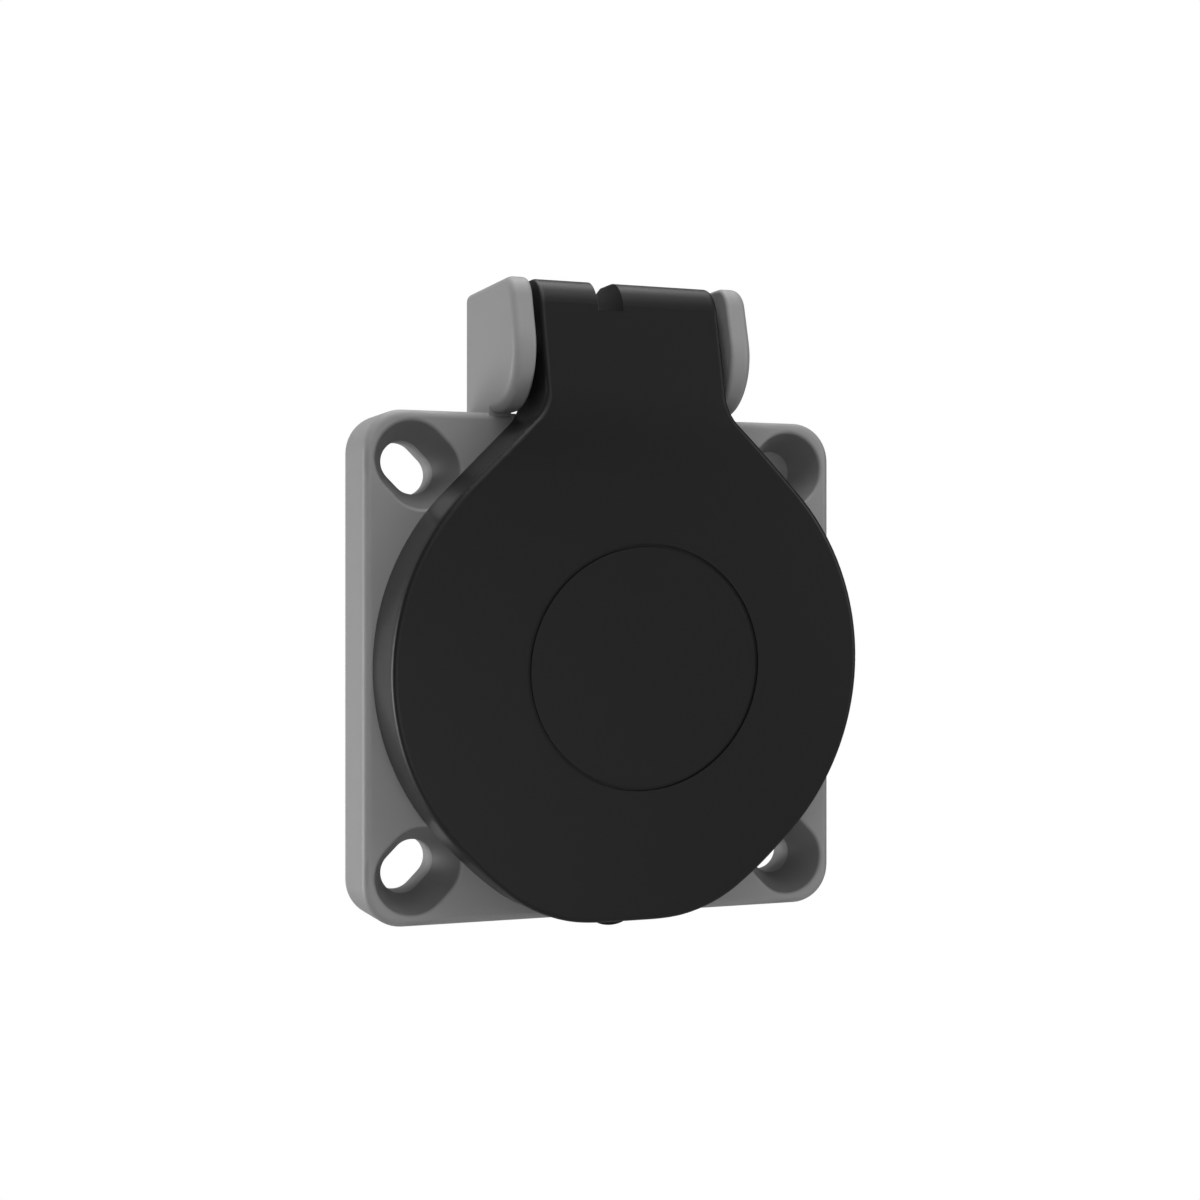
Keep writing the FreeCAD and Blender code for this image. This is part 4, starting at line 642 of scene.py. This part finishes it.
def threaded_row_tree():
    """Cuts a thread round the upright shank of the given screw and sets out copies in a row."""
    tree, given, end = new_tree("threaded_row", "GeometryNodeTree", [
        ("Screw", "Geometry", None), ("Pitch", "Float", 0.5 * MM), ("Depth", "Float", 0.0),
        ("Low", "Float", 0.0), ("High", "Float", 0.0), ("First", "Vector", None),
        ("Step", "Vector", None), ("Count", "Int", 1), ("Material", "Material", None)],
        [("Geometry", "Geometry")])
    calc = sums_in(tree)
    place = made(tree, "GeometryNodeInputPosition")
    axes = made(tree, "ShaderNodeSeparateXYZ", Vector=place).node.outputs
    x, y, z, pitch = axes["X"], axes["Y"], axes["Z"], given["Pitch"]

    turn = calc("DIVIDE", calc("ARCTAN2", y, x), math.tau)
    phase = calc("FRACT", calc("SUBTRACT", calc("DIVIDE", z, pitch), turn))
    flank = calc("MULTIPLY", calc("ABSOLUTE", calc("SUBTRACT", phase, 0.5)), FLANK_STEEPNESS)
    run_in = calc("DIVIDE", calc("SUBTRACT", z, given["Low"]), pitch)
    run_out = calc("DIVIDE", calc("SUBTRACT", given["High"], z), pitch)
    fade = calc("MAXIMUM", calc("MINIMUM", calc("MINIMUM", run_in, run_out), 1.0), 0.0)
    radius = calc("SQRT", calc("ADD", calc("POWER", x, 2.0), calc("POWER", y, 2.0)))
    sunk = calc("MULTIPLY", calc("MULTIPLY", calc("MINIMUM", flank, 1.0), fade), given["Depth"])
    share = calc("SUBTRACT", 1.0, calc("DIVIDE", sunk, calc("MAXIMUM", radius, LEAST_RADIUS)))

    there = vector_of(tree, calc("MULTIPLY", x, share), calc("MULTIPLY", y, share), z)
    threaded = made(tree, "GeometryNodeSetPosition", Geometry=given["Screw"], Position=there)
    row = made(tree, "GeometryNodeMeshLine", Count=given["Count"], Start_Location=given["First"],
               Offset=given["Step"])
    copies = made(tree, "GeometryNodeInstanceOnPoints", Points=row, Instance=threaded)
    finish_tree(tree, end, copies, given["Material"])
    return tree


THREADED_ROW = threaded_row_tree()


def shank_rings(radius, low, high, step):
    """Points of a profile up a shank, close enough to hold the thread."""
    count = round((high - low) / step)
    return [(radius, low + (high - low) * i / count) for i in range(count + 1)]


def make_terminal_screws():
    """Cheese-head clamping screws, slotted, one for each terminal."""
    low, high = corners_of("live_screw")
    radius, neck, top, head = 1.5 * MM, 2.9 * MM, high.z - low.z, (high.x - low.x) / 2
    profile = [(0, 0), (1.0 * MM, 0), (1.15 * MM, 0.12 * MM),
               *shank_rings(radius, 0.45 * MM, neck, 0.05 * MM),
               (head - 0.15 * MM, neck), (head, neck + 0.15 * MM), (head, top - 0.3 * MM),
               (head - 0.08 * MM, top - 0.12 * MM), (head - 0.3 * MM, top), (0, top)]
    slot = wedge("driver_slot", head * 1.2, 0.4 * MM, top + 0.2 * MM, top - 0.8 * MM, 0.03 * MM)
    screw = cut_away(turned("terminal_screw", profile), slot)
    first = Vector(((low.x + high.x) / 2, (low.y + high.y) / 2, low.z))
    mesh = grow("terminal_screws", THREADED_ROW, start=screw, Pitch=0.5 * MM, Depth=0.24 * MM,
                Low=0.2 * MM, High=neck - 0.1 * MM, First=first, Step=Vector((POLE, 0, 0)),
                Count=3, Material=FINISHES["zinc_steel"])
    row = add_piece("terminal_screws", mesh, "socket", "zinc_steel")
    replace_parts(row, "live_screw", "earth_screw", "neutral_screw")


def make_centre_screw():
    """Countersunk screw with a cross recess and a long thread for the nut at the rear."""
    low, high = corners_of("centre_screw")
    head, shank, length = (high.x - low.x) / 2, 1.75 * MM, high.y - low.y
    cone = head - shank
    profile = [(0, 0), (head - 0.15 * MM, 0), (head, 0.12 * MM), (shank, cone + 0.12 * MM),
               *shank_rings(shank, length / 2, length - 0.3 * MM, 0.08 * MM),
               (shank - 0.3 * MM, length), (0, length)]
    screw = turned("centre_screw_thread", profile)
    long_arm, short_arm = 1.9 * MM, 0.4 * MM
    for half_x, half_y in ((long_arm, short_arm), (short_arm, long_arm)):
        cross = wedge("driver_cross", half_x, half_y, -0.2 * MM, 1.1 * MM, 0.12 * MM)
        screw = cut_away(screw, cross)
    mesh = grow("centre_screw_thread", THREADED_ROW, start=screw, Pitch=0.6 * MM,
                Depth=0.28 * MM, Low=length / 2, High=length + 0.5 * MM, First=Vector(),
                Step=Vector(), Count=1, Material=FINISHES["zinc_steel"])
    mesh.transform(Matrix.Translation((0, low.y, 0)) @ Matrix.Rotation(math.radians(-90), 4, "X"))
    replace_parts(add_piece("centre_screw_thread", mesh, "socket", "zinc_steel"), "centre_screw")


# ---- rubber rings

def rubber_ring(name, node, profile, body):
    """A ring about the Y axis, from points that hold a share of its width and of its depth."""
    low, high = corners_of(node)
    inner = min(math.hypot(v.co.x, v.co.z) for v in NODES[node].data.vertices)
    width, depth = high.x - inner, high.y - low.y
    points = [(inner + width * across, low.y + depth * along) for across, along in profile]
    mesh = turned(name, points, steps=160, closed=True)
    mesh.transform(Matrix.Rotation(math.radians(-90), 4, "X"))
    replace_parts(add_piece(name, mesh, body, "seal_rubber", sharp=50.0), node)


def make_flange_gasket():
    """Flat gasket with two sealing lips towards the panel."""
    lips = [(0.0, 0.0), (1.0, 0.0), (1.0, 0.72), (0.94, 0.9), (0.84, 0.985), (0.76, 1.0),
            (0.68, 0.985), (0.6, 0.88), (0.55, 0.76), (0.5, 0.72), (0.45, 0.76), (0.4, 0.88),
            (0.32, 0.985), (0.24, 1.0), (0.16, 0.985), (0.06, 0.9), (0.0, 0.72)]
    rubber_ring("gasket_lips", "flange_gasket", lips, "socket")


def make_lid_seal():
    """Seal in the lid, with a round bead that meets the collar's rim and a thin lip inside it."""
    bead = [(0.0, 0.0), (1.0, 0.0), (1.0, 0.58), (0.96, 0.68), (0.93, 0.82), (0.87, 0.93),
            (0.78, 0.99), (0.7, 1.0), (0.62, 0.99), (0.53, 0.93), (0.47, 0.82), (0.43, 0.7),
            (0.36, 0.64), (0.28, 0.64), (0.2, 0.72), (0.14, 0.88), (0.07, 0.92), (0.03, 0.88),
            (0.0, 0.8)]
    rubber_ring("seal_bead", "lid_seal", bead, "lid")


# ---- marks on the terminal block

def raised_mark(shape, outline, place, height):
    """Adds one flat outline, in millimetres, that stands on the block with its edges drawn in."""
    base = [shape.verts.new((place.x - x * MM, place.y - y * MM, place.z)) for x, y in outline]
    face = shape.faces.new(base)
    top = bmesh.ops.extrude_face_region(shape, geom=[face])["geom"]
    upper = [v for v in top if isinstance(v, bmesh.types.BMVert)]
    bmesh.ops.translate(shape, verts=upper, vec=(0, 0, height))
    rim = [e for e in shape.edges if e.verts[0] in upper and e.verts[1] in upper]
    bmesh.ops.bevel(shape, geom=rim, offset=MARK_EDGE, segments=2, affect="EDGES",
                    clamp_overlap=True)


def bar(left, low, right, high):
    """The outline of a bar."""
    return [(left, low), (right, low), (right, high), (left, high)]


def make_terminal_marks():
    """L, earth sign and N beside the screw holes, raised on the top of the block."""
    stroke, half, tall = 0.45, 0.85, 1.3
    inner, foot, thin = half - stroke, stroke - tall, stroke / 2
    slant = 0.55 * 1.9
    letter_l = [(-half, -tall), (half, -tall), (half, foot), (-inner, foot), (-inner, tall),
                (-half, tall)]
    letter_n = [(-half, -tall), (-inner, -tall), (-inner, tall - slant), (inner, -tall),
                (half, -tall), (half, tall), (inner, tall), (inner, slant - tall),
                (-inner, tall), (-half, tall)]
    wide, low, high = 1.1, -0.1, 0.25
    stem = [(-wide, low), (wide, low), (wide, high), (thin, high), (thin, tall), (-thin, tall),
            (-thin, high), (-wide, high)]
    earth = [stem, bar(-0.75, -0.7, 0.75, -0.35), bar(-0.4, -1.3, 0.4, -0.95)]

    (_, front, _), (_, back, _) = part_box("live_screw")
    hole = (front + back) / 2
    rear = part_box("terminal_block")[1][1]
    top = max(v.co.z for v in NODES["terminal_block"].data.vertices if v.co.y > hole)
    y = (hole + HOLE_RADIUS + rear) / 2
    shape = bmesh.new()
    for x, outlines in ((-POLE, [letter_l]), (0.0, earth), (POLE, [letter_n])):
        for outline in outlines:
            raised_mark(shape, outline, Vector((x, y, top - MARK_SINK)), MARK_HEIGHT)
    mesh = mesh_from(shape, "terminal_marks")
    add_piece("terminal_marks", mesh, "socket", "terminal_block_plastic", sharp=25.0)


# ---- light, stage and camera

def area_light(name, place, target, size, power):
    """A softbox that faces its target."""
    data = bpy.data.lights.new(name, "AREA")
    data.shape = "RECTANGLE"
    data.size, data.size_y = size
    data.energy = power
    light = bpy.data.objects.new(name, data)
    light.location = place
    light.rotation_euler = (Vector(target) - Vector(place)).to_track_quat("-Z", "Y").to_euler()
    bpy.context.scene.collection.objects.link(light)


def set_world(level):
    """White to the camera, and a dim grey for what falls on the socket."""
    world = bpy.data.worlds.new("studio")
    world.use_nodes = True
    tree = world.node_tree
    seen = add_node(tree, "ShaderNodeLightPath").outputs["Is Camera Ray"]
    feed(tree.nodes["Background"].inputs["Color"], remap(tree, seen, 0.0, 1.0, level, 1.0))
    bpy.context.scene.world = world


def stage_white():
    """Pale paper that the camera sees evenly lit and that throws little light back."""
    material, tree, shader = principled("studio_white")
    plug(shader, Base_Color=(0.5, 0.5, 0.5, 1), Roughness=0.9)
    seen = add_node(tree, "ShaderNodeLightPath").outputs["Is Camera Ray"]
    mix = add_node(tree, "ShaderNodeMixShader")
    feed(mix.inputs[0], seen)
    feed(mix.inputs[1], shader.outputs[0])
    feed(mix.inputs[2], add_node(tree, "ShaderNodeEmission").outputs[0])
    feed(tree.nodes["Material Output"].inputs["Surface"], mix.outputs[0])
    return material


def white_stage():
    """A pale floor that sweeps up into a backdrop, far behind and below the socket."""
    back, floor, front, top, radius, half = 0.9, -0.32, -1.2, 1.6, 0.35, 1.6
    bend = [(back - radius + radius * math.sin(a), floor + radius - radius * math.cos(a))
            for a in (math.radians(5 * step) for step in range(19))]
    outline = [(front, floor), *bend, (back, top)]
    mesh = bpy.data.meshes.new("studio_sweep")
    points = [(x, y, z) for x in (-half, half) for y, z in outline]
    count = len(outline)
    faces = [(i, i + 1, count + i + 1, count + i) for i in range(count - 1)]
    mesh.from_pydata(points, [], faces)
    for polygon in mesh.polygons:
        polygon.use_smooth = True
    mesh.materials.append(stage_white())
    sweep = bpy.data.objects.new("studio_sweep", mesh)
    bpy.context.scene.collection.objects.link(sweep)


def set_camera():
    """Camera at the photograph's place and angle."""
    data = bpy.data.cameras.new("camera")
    data.sensor_width = 36.0
    data.lens = CAMERA_LENS
    data.clip_start, data.clip_end = 0.01, 20.0
    camera = bpy.data.objects.new("camera", data)
    camera.location = CAMERA_PLACE
    camera.rotation_euler = (math.radians(90), 0, CAMERA_TURN)
    bpy.context.scene.collection.objects.link(camera)
    bpy.context.scene.camera = camera


set_world(ROOM_LIGHT)
white_stage()
for softbox in SOFTBOXES:
    area_light(*softbox)
set_camera()
bpy.context.scene.view_settings.view_transform = "Standard"

paint_cad_nodes()
make_lid_shell()
make_lid_spring()
make_terminal_screws()
make_centre_screw()
make_flange_gasket()
make_lid_seal()
make_terminal_marks()
